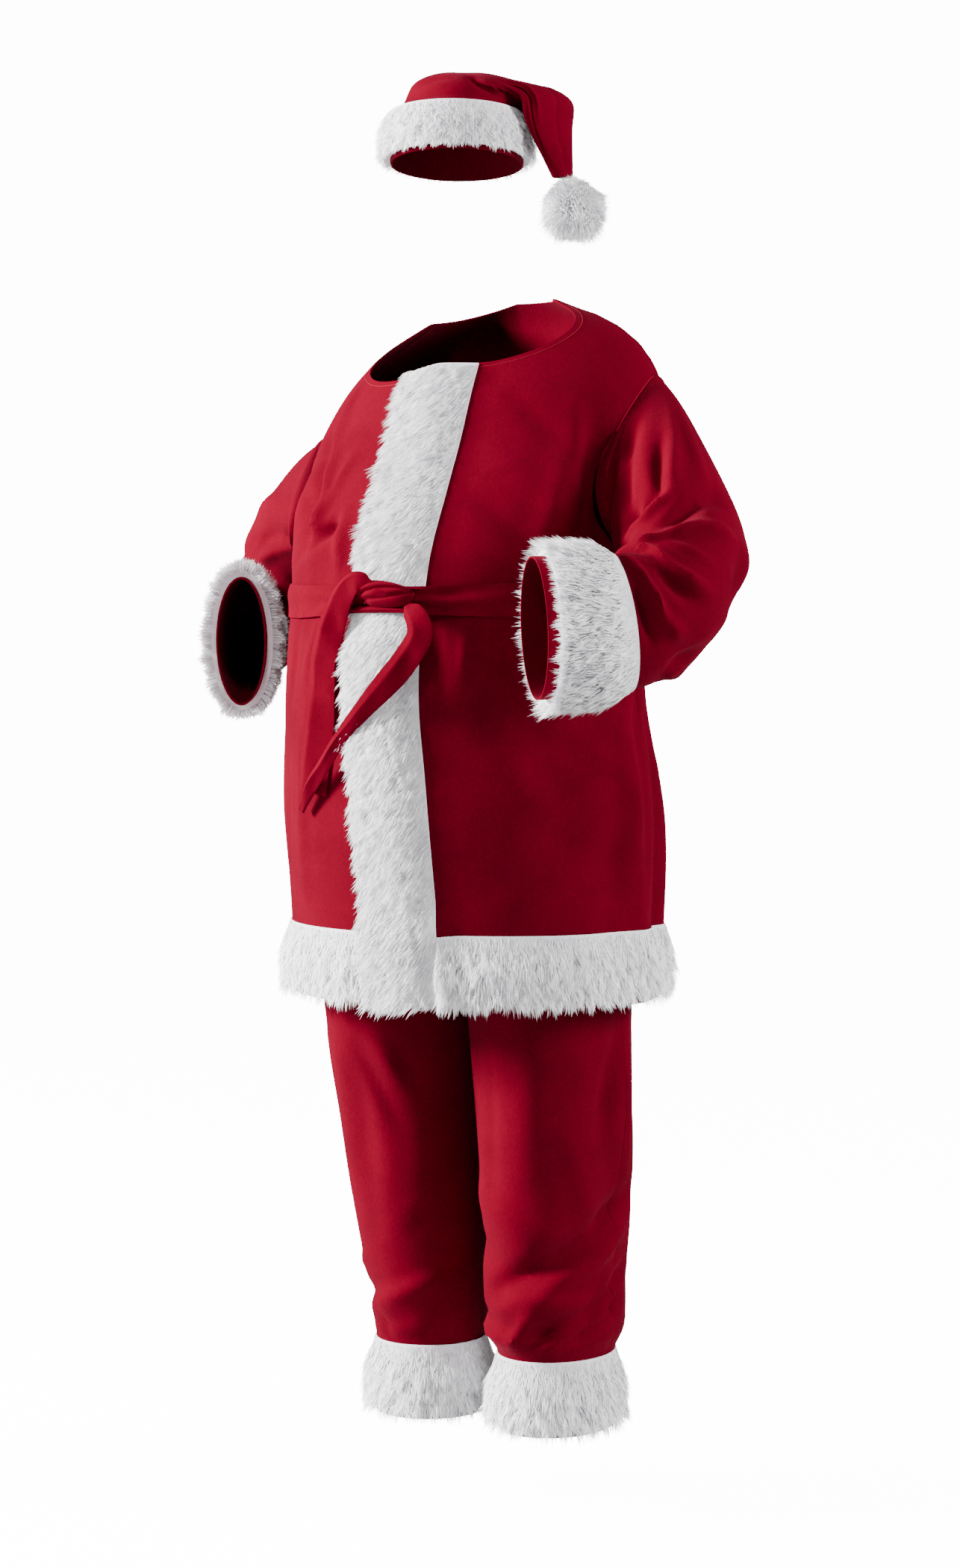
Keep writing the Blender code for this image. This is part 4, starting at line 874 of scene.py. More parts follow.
def new_object(name: str, points: Array, faces: Sequence[Sequence[int]],
               materials: Sequence[Material]) -> Piece:
    """Makes a smooth-shaded mesh on which the sharpest edges stay sharp."""
    mesh = bpy.data.meshes.new(name)
    mesh.from_pydata(points.reshape(-1, 3).tolist(), [], [list(face) for face in faces])
    for finish in materials:
        mesh.materials.append(finish)
    mesh.shade_smooth()
    mesh.set_sharp_from_angle(angle=math.radians(SHARP_FROM))
    mesh.update()
    return linked(name, mesh)


def grid_faces(rows: int, columns: int, ring: bool) -> Array:
    """Four-sided faces of a grid of points, whose last column meets its first on a ring."""
    index = np.arange(rows * columns).reshape(rows, columns)
    following = np.roll(index, -1, axis=1)
    if not ring:
        index, following = index[:, :-1], following[:, :-1]
    return np.stack((index[:-1], following[:-1], following[1:], index[1:]), axis=-1).reshape(-1, 4)


def shell_faces(rows: int, columns: int, ring: bool) -> Array:
    """Faces of a closed wall between an outer grid and the inner one that follows it."""
    count = rows * columns
    sheet = grid_faces(rows, columns, ring)
    index = np.arange(count).reshape(rows, columns)
    following = np.roll(index, -1, axis=1)
    if not ring:
        following = following[:, :-1]
    parts = [sheet, sheet[:, ::-1] + count]
    cells = following.shape[1]
    rims = [(index[row, :cells], following[row], row == 0) for row in (0, rows - 1)]
    if not ring:
        rims += [(index[:-1, column], index[1:, column], column > 0) for column in (0, columns - 1)]
    for near, far, turned in rims:
        strip = np.stack((near, far, far + count, near + count), axis=-1)
        parts.append(strip[:, ::-1] if turned else strip)
    return np.concatenate(parts)


def faces_out(points: Array, faces: Array, away: Array) -> Array:
    """Turns every face round if the outer grid, which comes first, looks the wrong way.

    Args:
        points: All points of the piece.
        faces: Its faces.
        away: Outward directions of the outer grid's points.
    """
    flat = points.reshape(-1, 3)
    directions = away.reshape(-1, 3)
    sample = faces[:len(faces) // 4:7]
    first = flat[sample[:, 1]] - flat[sample[:, 0]]
    second = flat[sample[:, 3]] - flat[sample[:, 0]]
    looks = np.einsum("ij,ij->i", np.cross(first, second), directions[sample[:, 0]]).sum()
    return faces if looks > 0 else faces[:, ::-1]


def row_gaps(points: Array) -> tuple[Array, Array]:
    """Distances along each row to its first point and to its last one."""
    steps = np.linalg.norm(np.diff(points, axis=1), axis=-1)
    run = np.concatenate((np.zeros((len(points), 1)), np.cumsum(steps, axis=1)), axis=1)
    return run, run[:, -1:] - run


def wall(name: str, outer: Array, inner: Array, away: Array, ring: bool, finish: Material
         ) -> Piece:
    """Makes a closed wall between an outer grid of points and an inner one."""
    points = np.concatenate((outer.reshape(-1, 3), inner.reshape(-1, 3)))
    faces = faces_out(points, shell_faces(*outer.shape[:2], ring), away)
    return new_object(name, points, faces, [finish])


@dataclass
class Patch:
    """A stretch of a form, as a grid of places on it.

    Attributes:
        name: The name of the piece that lies there.
        surface: The form.
        turns: Turn of each point, in rows and columns.
        alongs: Place along the form of each point.
    """

    name: str
    surface: Surface
    turns: Array
    alongs: Array

    def laid(self) -> tuple[Array, Array]:
        """Points of the form and its outward directions."""
        return (self.surface.points(self.turns, self.alongs),
                self.surface.normals(self.turns, self.alongs))


@dataclass
class Panel(Patch):
    """A cut piece of cloth that lies on a form.

    Attributes:
        offset: Distance of its outer face from the form.
        thickness: The wall's thickness, a number or one for each point.
        ring: Whether the last column meets the first.
        seams: Whether the first and the last column are sewn.
        seam_dip: How deep the cloth is drawn in at a seam.
        dip_width: Width of that dip.
        pucker: Height of the small waves beside it.
        pucker_width: Their width, and their distance from the seam.
    """

    offset: Array | float = 0.0
    thickness: Array | float = CLOTH
    ring: bool = False
    seams: tuple[bool, bool] = (True, True)
    seam_dip: float = 0.0014
    dip_width: float = 0.0045
    pucker: float = 0.0006
    pucker_width: float = 0.009

    def seam_relief(self, base: Array) -> Array:
        """The dip and the slight puckers beside sewn edges."""
        relief = np.zeros(base.shape[:2])
        if self.ring:
            return relief
        down = np.linalg.norm(np.diff(base, axis=0), axis=-1).mean(axis=1)
        run = np.concatenate(([0.0], np.cumsum(down)))[:, None]
        for sewn, gap in zip(self.seams, row_gaps(base)):
            if sewn:
                wave = np.sin(run * 330) * np.sin(run * 121 + 1.3)
                beside = (gap - self.pucker_width) / self.pucker_width
                relief -= self.seam_dip * np.exp(-(gap / self.dip_width) ** 2)
                relief += self.pucker * wave * np.exp(-beside ** 2)
        return relief

    def build(self, finish: Material) -> Piece:
        """Makes the closed wall."""
        base, away = self.laid()
        offset = np.broadcast_to(self.offset, base.shape[:2]) + self.seam_relief(base)
        outer = base + away * offset[..., None]
        inner = outer - away * np.broadcast_to(self.thickness, base.shape[:2])[..., None]
        return wall(self.name, outer, inner, away, self.ring, finish)


def cloth_area(piece: Piece) -> float:
    """The area of one face of a closed wall, in square metres."""
    return sum(face.area for face in piece.data.polygons) / 2


def at_home(piece: Piece, slot: str, *nodes: str) -> Piece:
    """Lets a piece ride on the suit and stand for CAD nodes."""
    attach(piece, "root")
    if nodes:
        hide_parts(*nodes)
    log.info("%s: %d faces", piece.name, len(piece.data.polygons))
    return piece


def fur_home(fur: Pair, node: str) -> Pair:
    """Lets a backing and its pile stand for a CAD node."""
    for piece in fur:
        at_home(piece, "white_fur", node)
    return fur


# ---- shader and geometry graphs ---------------------------------------------------------------


class Graph:
    """A short way to add and join nodes in a tree."""

    def __init__(self, tree: Tree) -> None:
        """Takes the tree."""
        self.tree = tree

    def node(self, kind: str, settings: Optional[dict] = None, **inputs: object
             ) -> bpy.types.Node:
        """Adds a node.

        Args:
            kind: The node's type.
            settings: Values of its properties.
            inputs: Sockets to join or values to set, by name with spaces as underscores,
                or by number as i0, i1 and so on.
        """
        made = self.tree.nodes.new(kind)
        for key, value in (settings or {}).items():
            setattr(made, key, value)
        for key, value in inputs.items():
            socket = (made.inputs[int(key[1:])] if key[0] == "i" and key[1:].isdigit()
                      else made.inputs[key.replace("_", " ")])
            if isinstance(value, Socket):
                self.tree.links.new(value, socket)
            else:
                socket.default_value = value
        return made

    def maths(self, operation: str, *values: object) -> Socket:
        """Joins numbers."""
        inputs = {"i%d" % number: value for number, value in enumerate(values)}
        return self.node("ShaderNodeMath", {"operation": operation}, **inputs).outputs[0]

    def product(self, first: object, second: object) -> Socket:
        """The product of two numbers."""
        return self.maths("MULTIPLY", first, second)

    def vector(self, operation: str, *values: object) -> Socket:
        """Joins vectors."""
        inputs = {"i%d" % number: value for number, value in enumerate(values)}
        return self.node("ShaderNodeVectorMath", {"operation": operation}, **inputs).outputs[0]

    def total(self, *vectors: object) -> Socket:
        """The sum of vectors, added one after the other."""
        running = vectors[0]
        for following in vectors[1:]:
            running = self.vector("ADD", running, following)
        return running

    def scaled(self, vector: object, share: object) -> Socket:
        """A vector times a number."""
        return self.node("ShaderNodeVectorMath", {"operation": "SCALE"}, i0=vector,
                         Scale=share).outputs[0]

    def noise(self, place: object, scale: object, output: str = "Fac", **inputs: object
              ) -> Socket:
        """The reading of a noise texture."""
        return self.node("ShaderNodeTexNoise", Vector=place, Scale=scale, **inputs).outputs[output]

    def remapped(self, value: object, **limits: object) -> Socket:
        """A number moved from one range to another, without leaving it."""
        return self.node("ShaderNodeMapRange", Value=value, **limits).outputs["Result"]

    def mixed(self, share: object, low: object, high: object) -> Socket:
        """A colour between two others."""
        return self.node("ShaderNodeMix", {"data_type": "RGBA"}, Factor=share, i6=low,
                         i7=high).outputs[2]

    def read(self, title: str, output: str = "Fac") -> Socket:
        """An attribute of the mesh, for a shader."""
        return self.node("ShaderNodeAttribute", {"attribute_name": title}).outputs[output]

    def named(self, title: str, kind: str = "FLOAT") -> Socket:
        """An attribute of the mesh, for a geometry tree."""
        return self.node("GeometryNodeInputNamedAttribute", {"data_type": kind},
                         Name=title).outputs["Attribute"]

    def stored(self, geometry: Socket, title: str, value: Socket, kind: str = "FLOAT") -> Socket:
        """A geometry with one more attribute of its points."""
        return self.node("GeometryNodeStoreNamedAttribute", {"data_type": kind, "domain": "POINT"},
                         Geometry=geometry, Name=title, Value=value).outputs["Geometry"]

    def chance(self, seed: Socket, offset: int, low: object, high: object, kind: str = "FLOAT"
               ) -> Socket:
        """A random value for each point."""
        lowest, highest, drawn = {"FLOAT": (2, 3, 1), "FLOAT_VECTOR": (0, 1, 0)}[kind]
        node = self.node("FunctionNodeRandomValue", {"data_type": kind},
                         Seed=self.maths("ADD", seed, float(offset)))
        node.inputs[lowest].default_value = low
        node.inputs[highest].default_value = high
        return node.outputs[drawn]

    def copies(self, points: Socket, model: Socket, **inputs: object) -> Socket:
        """A copy of a model on each point, as a mesh of its own."""
        instances = self.node("GeometryNodeInstanceOnPoints", Points=points, Instance=model,
                              **inputs).outputs[0]
        return self.node("GeometryNodeRealizeInstances", Geometry=instances).outputs[0]

    def deliver(self, geometry: Socket, finish: Socket) -> None:
        """Gives a geometry its finish and puts it out."""
        finished = self.node("GeometryNodeSetMaterial", Geometry=geometry, Material=finish)
        self.node("NodeGroupOutput", Geometry=finished.outputs[0])


def new_group(name: str, kind: str, inputs: dict[str, object], outputs: dict[str, str]
              ) -> tuple[Tree, Graph, object]:
    """Makes a node group and gives it back with its graph and its inputs' sockets.

    Args:
        name: The group's name.
        kind: Shader or Geometry.
        inputs: Each input's default, or the word for its type where it has none.
        outputs: The word for each output's type.
    """
    tree = bpy.data.node_groups.new(name, kind + "NodeTree")
    words = {tuple: "Color", float: "Float", int: "Int"}
    for title, value in inputs.items():
        word = value if isinstance(value, str) else words[type(value)]
        socket = tree.interface.new_socket(title, in_out="INPUT", socket_type="NodeSocket" + word)
        if word is not value:
            socket.default_value = value
    for title, word in outputs.items():
        tree.interface.new_socket(title, in_out="OUTPUT", socket_type="NodeSocket" + word)
    graph = Graph(tree)
    return tree, graph, graph.node("NodeGroupInput").outputs


def nap_group() -> Tree:
    """Brushed nap: slow patches where the pile lies another way, and a fine fuzz."""
    tree, graph, given = new_group(
        "brushed_nap", "Shader",
        {"Base": (0.5, 0.0, 0.02, 1.0), "Deep": (0.2, 0.0, 0.01, 1.0), "Patch Scale": 14.0,
         "Fuzz Scale": 900.0},
        {"Color": "Color", "Height": "Float"})
    place = graph.node("ShaderNodeTexCoord").outputs["Object"]
    patch = graph.noise(place, given["Patch Scale"], Detail=3.0, Roughness=0.55, Distortion=0.6)
    fuzz = graph.noise(place, given["Fuzz Scale"], Detail=3.0, Roughness=0.7)
    clumps = graph.noise(place, graph.product(given["Fuzz Scale"], 0.22), Detail=2.0,
                         Roughness=0.6)
    soft = graph.remapped(patch, From_Min=0.30, From_Max=0.72, To_Min=0.0, To_Max=0.34)
    fine = graph.remapped(fuzz, From_Min=0.35, From_Max=0.70, To_Min=0.22, To_Max=0.0)
    lumps = graph.remapped(clumps, From_Min=0.35, From_Max=0.70, To_Min=0.16, To_Max=0.0)
    share = graph.maths("ADD", graph.maths("ADD", soft, fine), lumps)
    height = graph.maths("ADD", graph.product(fuzz, 0.55), graph.product(clumps, 0.8))
    graph.node("NodeGroupOutput", Color=graph.mixed(share, given["Base"], given["Deep"]),
               Height=height)
    return tree


def pile_group() -> Tree:
    """Long pile: painted shade at the roots and in patches between clumps, each lock with its own
    slight tone.
    """
    tree, graph, given = new_group(
        "long_pile", "Shader",
        {"Root": (0.6, 0.6, 0.62, 1.0), "Tip": (0.95, 0.95, 0.95, 1.0), "Strand Scale": 260.0,
         "Clump Scale": 75.0, "Clump Shade": 0.75, "Lie": 0.18},
        {"Color": "Color", "Height": "Float", "Normal": "Vector"})
    place = graph.node("ShaderNodeTexCoord").outputs["Object"]
    tip = graph.read("tip")
    grain = graph.noise(place, given["Strand Scale"], Detail=2.0)
    clump = graph.noise(graph.read("root", "Vector"), given["Clump Scale"], Detail=2.0,
                        Distortion=0.8)
    # Painted shade between clumps: noise read at the roots darkens whole locks in patches.
    hollow = graph.remapped(clump, From_Min=0.46, From_Max=0.68, To_Max=given["Clump Shade"])
    # The root colour is painted shade deep in the pile; each lock turns to the tip colour over the
    # lower part of its length.
    share = graph.remapped(tip, From_Min=0.0, From_Max=0.55)
    for darkening in (graph.product(graph.read("chance"), 0.14), graph.product(grain, 0.10), hollow):
        share = graph.maths("SUBTRACT", share, darkening)
    along = graph.scaled(graph.vector("NORMALIZE", graph.read("comb", "Vector")),
                         graph.product(tip, 0.5))
    lie = graph.scaled(graph.total(graph.read("up", "Vector"), along), given["Lie"])
    own = graph.scaled(graph.node("ShaderNodeNewGeometry").outputs["Normal"],
                       graph.maths("SUBTRACT", 1.0, given["Lie"]))
    graph.node("NodeGroupOutput", Color=graph.mixed(share, given["Root"], given["Tip"]),
               Height=grain, Normal=graph.vector("NORMALIZE", graph.total(lie, own)))
    return tree


class Kind(Enum):
    """The kinds of surface that a finish can be."""

    NAP = "brushed_nap"
    PILE = "long_pile"


@dataclass(frozen=True)
class Finish:
    """A cloth or fur finish.

    Attributes:
        name: The material's name.
        kind: Nap or pile.
        light: The colour where the surface is fullest.
        dark: The darker colour; on the nap that of its darker patches, on the pile the painted shade
            at its roots and on its backing.
        roughness: The shader's roughness.
        sheen: Weight of the fibres' sheen.
        sheen_tint: The sheen's colour.
        bump: Height of the relief in metres.
        specular: The shader's mirror share.
        scales: Pattern sizes passed to the group, by input name.
    """

    name: str
    kind: Kind
    light: Triple
    dark: Triple
    roughness: float
    sheen: float
    sheen_tint: Triple
    bump: float
    specular: float = 0.2
    scales: tuple[tuple[str, float], ...] = ()

    def build(self) -> Material:
        """Makes the material."""
        made = bpy.data.materials.new(self.name)
        made.use_nodes = True
        made.node_tree.nodes.clear()
        graph = Graph(made.node_tree)
        is_nap = self.kind is Kind.NAP
        if self.kind.value not in bpy.data.node_groups:
            nap_group() if is_nap else pile_group()
        full, hollow = ("Base", "Deep") if is_nap else ("Tip", "Root")
        group = graph.node("ShaderNodeGroup",
                           {"node_tree": bpy.data.node_groups[self.kind.value]},
                           **{full: (*self.light, 1.0), hollow: (*self.dark, 1.0)},
                           **dict(self.scales))
        normal = {} if is_nap else {"Normal": group.outputs["Normal"]}
        bump = graph.node("ShaderNodeBump", Height=group.outputs["Height"], Strength=0.7,
                          Distance=self.bump, **normal)
        shader = graph.node("ShaderNodeBsdfPrincipled", Base_Color=group.outputs["Color"],
                            Roughness=self.roughness, Normal=bump.outputs["Normal"],
                            Sheen_Weight=self.sheen, Sheen_Roughness=0.45,
                            Sheen_Tint=(*self.sheen_tint, 1.0), Specular_IOR_Level=self.specular)
        graph.node("ShaderNodeOutputMaterial", Surface=shader.outputs["BSDF"])
        return made


RED_FLEECE = Finish("red_fleece", Kind.NAP, (0.116, 0.0001, 0.0078), (0.054, 0.0001, 0.0036), 0.95,
                    0.065, (1.0, 0.12, 0.24), 0.0006, 0.02,
                    scales=(("Patch Scale", 13.0), ("Fuzz Scale", 900.0)))
BELT_FLEECE = Finish("belt_fleece", Kind.NAP, (0.124, 0.0001, 0.0083), (0.060, 0.0001, 0.0040), 0.94,
                     0.06, (1.0, 0.10, 0.22), 0.0004, 0.02,
                     scales=(("Patch Scale", 26.0), ("Fuzz Scale", 1200.0)))
# The fur's grey second colour is painted shade, at the roots of the locks and all over the backings
# and the pompom's core.
WHITE_FUR = Finish("white_fur", Kind.PILE, (1.0, 1.0, 1.0), (0.75, 0.74, 0.78), 0.75, 0.0,
                   (1.0, 1.0, 1.0), 0.0006, scales=(("Strand Scale", 240.0),))
THREAD = Finish("red_thread", Kind.NAP, (0.36, 0.004, 0.020), (0.16, 0.001, 0.008), 0.6, 0.0,
                (1.0, 0.5, 0.5), 0.0001, scales=(("Fuzz Scale", 2500.0),))


# ---- long pile and stitches --------------------------------------------------------------------


def modifier_input(modifier: bpy.types.NodesModifier, title: str, value: object) -> None:
    """Sets a named input of a Geometry Nodes modifier by its socket's identifier."""
    for item in modifier.node_group.interface.items_tree:
        if item.item_type == "SOCKET" and item.in_out == "INPUT" and item.name == title:
            modifier[item.identifier] = value
            return
    raise KeyError(title)


def realized(carrier: Piece, tree: Tree, name: str, inputs: dict[str, object],
             finish: Material) -> Piece:
    """Runs a tree on a carrier, which it removes, and keeps the result as a plain mesh."""
    modifier = carrier.modifiers.new("grow", "NODES")
    modifier.node_group = tree
    for title, value in inputs.items():
        modifier_input(modifier, title, value)
    modifier_input(modifier, "Material", finish)
    ready = carrier.evaluated_get(bpy.context.evaluated_depsgraph_get())
    mesh = bpy.data.meshes.new_from_object(ready)
    carrier.modifiers.clear()
    bpy.data.objects.remove(carrier, do_unlink=True)
    mesh.name = name
    return linked(name, mesh)


def scattered(graph: Graph, given: object) -> tuple[Socket, Socket]:
    """Sets upright blades all over a mesh, and reads the places of their points."""
    scatter = graph.node("GeometryNodeDistributePointsOnFaces", Mesh=given["Geometry"],
                         Density=given["Density"], Seed=given["Seed"])
    place = graph.node("GeometryNodeInputPosition").outputs[0]
    points = graph.stored(scatter.outputs["Points"], "root", place, "FLOAT_VECTOR")
    points = graph.stored(points, "chance", graph.chance(given["Seed"], 1, 0.0, 1.0))
    points = graph.stored(points, "roll", graph.chance(given["Seed"], 2, -1.0, 1.0))
    stray = graph.chance(given["Seed"], 3, (-1.0,) * 3, (1.0,) * 3, "FLOAT_VECTOR")
    points = graph.stored(points, "stray", stray, "FLOAT_VECTOR")
    blade = graph.node("GeometryNodeObjectInfo", Object=given["Blade"]).outputs["Geometry"]
    return graph.copies(points, blade), place


def grown(graph: Graph, given: object, place: Socket) -> tuple[Socket, Socket]:
    """Where each point of a blade stands on the grown lock, and its share of the way to the tip."""
    root, up, comb = (graph.named(title, "FLOAT_VECTOR") for title in ("root", "up", "comb"))
    rise, luck, roll = (graph.named(title) for title in ("rise", "chance", "roll"))
    local = graph.node("ShaderNodeSeparateXYZ",
                       Vector=graph.vector("SUBTRACT", place, root)).outputs
    share = local["Z"]
    square = graph.product(share, share)
    size = graph.maths("MULTIPLY_ADD", luck, 0.5, 0.72)
    lift = graph.product(graph.product(rise, size),
                         graph.maths("SUBTRACT", graph.product(share, 2.0), square))
    reach = graph.product(size, graph.maths("POWER", share, 1.35))
    tuft = graph.noise(root, graph.maths("DIVIDE", 1.0, given["Tuft Size"]), "Color", Detail=1.0)
    pull = graph.scaled(graph.vector("SUBTRACT", tuft, (0.5, 0.5, 0.5)),
                        graph.product(given["Tuft Pull"], 4.0))
    stray = graph.scaled(graph.named("stray", "FLOAT_VECTOR"), given["Stray"])
    freedom = graph.node("ShaderNodeMath", {"operation": "MULTIPLY", "use_clamp": True},
                         i0=rise, i1=90.0).outputs[0]
    wander = graph.scaled(graph.total(pull, stray), graph.product(square, freedom))
    across = graph.vector("NORMALIZE", graph.vector("CROSS_PRODUCT", up, comb))
    leaning = graph.scaled(up, graph.product(roll, 0.55))
    across = graph.vector("NORMALIZE", graph.total(across, leaning))
    edge_on = graph.scaled(graph.vector("NORMALIZE", comb), graph.product(roll, given["Twist"]))
    across = graph.vector("NORMALIZE", graph.total(across, edge_on))
    width = graph.product(graph.product(local["X"], given["Width"]), size)
    moved = graph.total(root, graph.scaled(up, lift), graph.scaled(comb, reach),
                        graph.scaled(across, width), wander)
    return moved, share


def pile_tree() -> Tree:
    """Grows bent, tapering locks on a mesh that carries comb, rise and up for each point."""
    tree, graph, given = new_group(
        "grow_pile", "Geometry",
        {"Geometry": "Geometry", "Blade": "Object", "Density": LOCKS, "Width": LOCK_WIDTH,
         "Tuft Size": 0.012, "Tuft Pull": 0.0064, "Stray": 0.0022, "Twist": 0.0, "Seed": 1,
         "Material": "Material"},
        {"Geometry": "Geometry"})
    blades, place = scattered(graph, given)
    moved, share = grown(graph, given, place)
    bent = graph.node("GeometryNodeSetPosition", Geometry=graph.stored(blades, "tip", share),
                      Position=moved).outputs[0]
    smooth = graph.node("GeometryNodeSetShadeSmooth", Geometry=bent).outputs[0]
    graph.deliver(smooth, given["Material"])
    return tree


def stitch_tree() -> Tree:
    """Lays stitches end to end along the edges of a mesh."""
    tree, graph, given = new_group(
        "lay_stitches", "Geometry",
        {"Geometry": "Geometry", "Stitch": "Object", "Pitch": STITCH_PITCH,
         "Material": "Material"},
        {"Geometry": "Geometry"})
    curve = graph.node("GeometryNodeMeshToCurve", Mesh=given["Geometry"]).outputs[0]
    spots = graph.node("GeometryNodeCurveToPoints", {"mode": "LENGTH"}, Curve=curve,
                       Length=given["Pitch"]).outputs
    stitch = graph.node("GeometryNodeObjectInfo", Object=given["Stitch"]).outputs["Geometry"]
    laid = graph.copies(spots["Points"], stitch, Rotation=spots["Rotation"])
    graph.deliver(laid, given["Material"])
    return tree


class Workroom:
    """What every sub-assembly shares: materials, the two trees and their small tools."""

    def __init__(self) -> None:
        """Makes the materials, the trees, one lock and one stitch."""
        self.red = RED_FLEECE.build()
        self.belt = BELT_FLEECE.build()
        self.fur = WHITE_FUR.build()
        self.thread = THREAD.build()
        self.pile = pile_tree()
        self.stitching = stitch_tree()
        self.blade = self.make_blade()
        self.stitch = self.make_stitch()
        self.seed = 0

    @staticmethod
    def make_blade() -> Piece:
        """One lock of unit size: a flat blade that narrows to its tip along +Z."""
        levels = ((0.0, 0.50), (0.52, 0.42))
        points = [(side * half, 0.0, level) for level, half in levels for side in (-1, 1)]
        points.append((0.0, 0.0, 1.0))
        faces = [(0, 1, 3, 2), (2, 3, 4)]
        return new_object("blade", np.array(points), faces, [])

    @staticmethod
    def make_stitch() -> Piece:
        """One stitch: a short thread, round and pinched at its ends, along +Z."""
        rings = ((-0.5, 0.25), (-0.30, 0.9), (0.30, 0.9), (0.5, 0.25))
        length, thick, sides = 0.0029, 0.00040, 6
        points = [(thick * size * math.cos(2 * math.pi * c / sides),
                   thick * size * math.sin(2 * math.pi * c / sides), length * level)
                  for level, size in rings for c in range(sides)]
        faces = [list(face) for face in grid_faces(len(rings), sides, True)]
        faces += [list(range(sides))[::-1], list(range(3 * sides, 4 * sides))]
        return new_object("stitch", np.array(points), faces, [])

    def grow(self, name: str, points: Array, faces: Array, up: Array, comb: Array, rise: Array,
             **inputs: float) -> Piece:
        """Grows pile on a root mesh.

        Args:
            name: The piece's name.
            points: The root mesh's points.
            faces: Its faces.
            up: Outward direction at each point.
            comb: How far and which way a lock leans over from root to tip, at each point.
            rise: How far its tip stands over its root, at each point.
            inputs: Other inputs of the tree, with underscores for spaces.
        """
        carrier = new_object(name + "_roots", points, faces, [])
        for title, values in (("up", up), ("comb", comb)):
            attribute = carrier.data.attributes.new(title, "FLOAT_VECTOR", "POINT")
            attribute.data.foreach_set("vector", values.astype(np.float32).ravel())
        attribute = carrier.data.attributes.new("rise", "FLOAT", "POINT")
        attribute.data.foreach_set("value", rise.astype(np.float32).ravel())
        self.seed += 1
        given = {key.replace("_", " "): value for key, value in inputs.items()}
        return realized(carrier, self.pile, name, {"Blade": self.blade, "Seed": self.seed,
                                                   **given}, self.fur)

    def sew(self, name: str, route: Array) -> Piece:
        """Lays stitches along a route of points."""
        mesh = bpy.data.meshes.new(name + "_route")
        edges = [(start, start + 1) for start in range(len(route) - 1)]
        mesh.from_pydata(route.tolist(), edges, [])
        return realized(linked(name + "_route", mesh), self.stitching, name,
                        {"Stitch": self.stitch}, self.thread)

    def clear_tools(self) -> None:
        """Removes the lock and the stitch once everything is grown."""
        for tool in (self.blade, self.stitch):
            bpy.data.objects.remove(tool, do_unlink=True)


@dataclass
class FurBand(Patch):
    """A strip of fur: a low white backing and the pile that grows from it.

    Attributes:
        height: The full height of the pile over its underside.
        comb: Lean of the locks, as lengths towards later rows and later columns.
        base: Height of its underside over the form.
        ring: Whether the last column meets the first.
        backing: Share of the height that the backing fills.
        least_backing: The backing's least thickness.
        rooting: Share of the backing's thickness at which the locks begin.
        low_lean: Share of the lean that the lowest pile keeps.
    """

    height: Array
    comb: tuple[float, float]
    base: Array | float = LAY
    ring: bool = False
    backing: float = 0.42
    least_backing: float = 0.0011
    rooting: float = 0.8
    low_lean: float = 0.55

    def directions(self, points: Array) -> tuple[Array, Array]:
        """Unit directions towards later rows and later columns."""
        down = unit(np.gradient(points, axis=0))
        if self.ring:
            around = np.roll(points, -1, axis=1) - np.roll(points, 1, axis=1)
        else:
            around = np.gradient(points, axis=1)
        return down, unit(around)

    def build(self, room: Workroom) -> Pair:
        """Makes the backing and the pile."""
        low = np.maximum(self.height * self.backing, self.least_backing)
        # The backing carries no tip share, so the fur finish gives it the root's painted shade all
        # over.
        backing = Panel(self.name, self.surface, self.turns, self.alongs, self.base + low, low,
                        self.ring, seams=(False, False)).build(room.fur)
        form, up = self.laid()
        rooted = low * self.rooting
        roots = form + up * (self.base + rooted)[..., None]
        down, around = self.directions(form)
        comb = down * self.comb[0] + around * self.comb[1]
        fullness = np.clip(self.height / self.height.max(), 0.3, 1.0)[..., None]
        faces = faces_out(roots, grid_faces(*form.shape[:2], self.ring), up)
        locks = room.grow(self.name + "_pile", roots, faces, up,
                          comb * (self.low_lean + (1 - self.low_lean) * fullness),
                          self.height - rooted)
        return backing, locks


# ---- the cut -----------------------------------------------------------------------------------


class Cut(NamedTuple):
    """What a piece of cloth was cut to, and how it is held now."""

    width: float
    length: float
    held: str
    area: Optional[float] = None


CUTS = {
    "jacket_back": Cut(0.64, 0.88, "draped", 0.50),
    "jacket_front_left": Cut(0.40, 0.88, "draped", 0.33),
    "jacket_front_right": Cut(0.38, 0.88, "draped", 0.31),
    "sleeve": Cut(0.54, 0.46, "draped", 0.22),
    "front_band": Cut(0.100, 0.84, "stretched"),
    "hem_left": Cut(0.32, 0.083, "stretched"),
    "hem_right": Cut(0.32, 0.083, "stretched"),
    "hem_back": Cut(0.66, 0.083, "stretched"),
    "cuff": Cut(0.50, 0.094, "stretched"),
    "belt_round": Cut(1.26, 0.044, "stretched"),
    "belt_end_a": Cut(0.044, 0.25, "hung"),
    "belt_end_b": Cut(0.040, 0.28, "hung"),
    "trouser": Cut(0.31, 0.86, "draped", 0.26),
    "waist": Cut(1.05, 0.036, "gathered"),
    "leg": Cut(0.52, 0.086, "stretched"),
    "hat_half": Cut(0.29, 0.34, "draped", 0.052),
    "hat_band": Cut(0.56, 0.062, "stretched"),
}


def declare(piece: Piece, cut: str) -> None:
    """Logs a sheet's cloth area beside the area of its row in the table of cuts."""
    width, length, held, area = CUTS[cut]
    log.info("%s: cloth %.4f m2, cut %.4f m2", piece.name, cloth_area(piece),
             area or width * length)


# ---- the jacket --------------------------------------------------------------------------------


def level_rows(low: float, high: float, step: float) -> Array:
    """Evenly spaced levels about a step apart."""
    return np.linspace(low, high, max(int(round((high - low) / step)), 2) + 1)


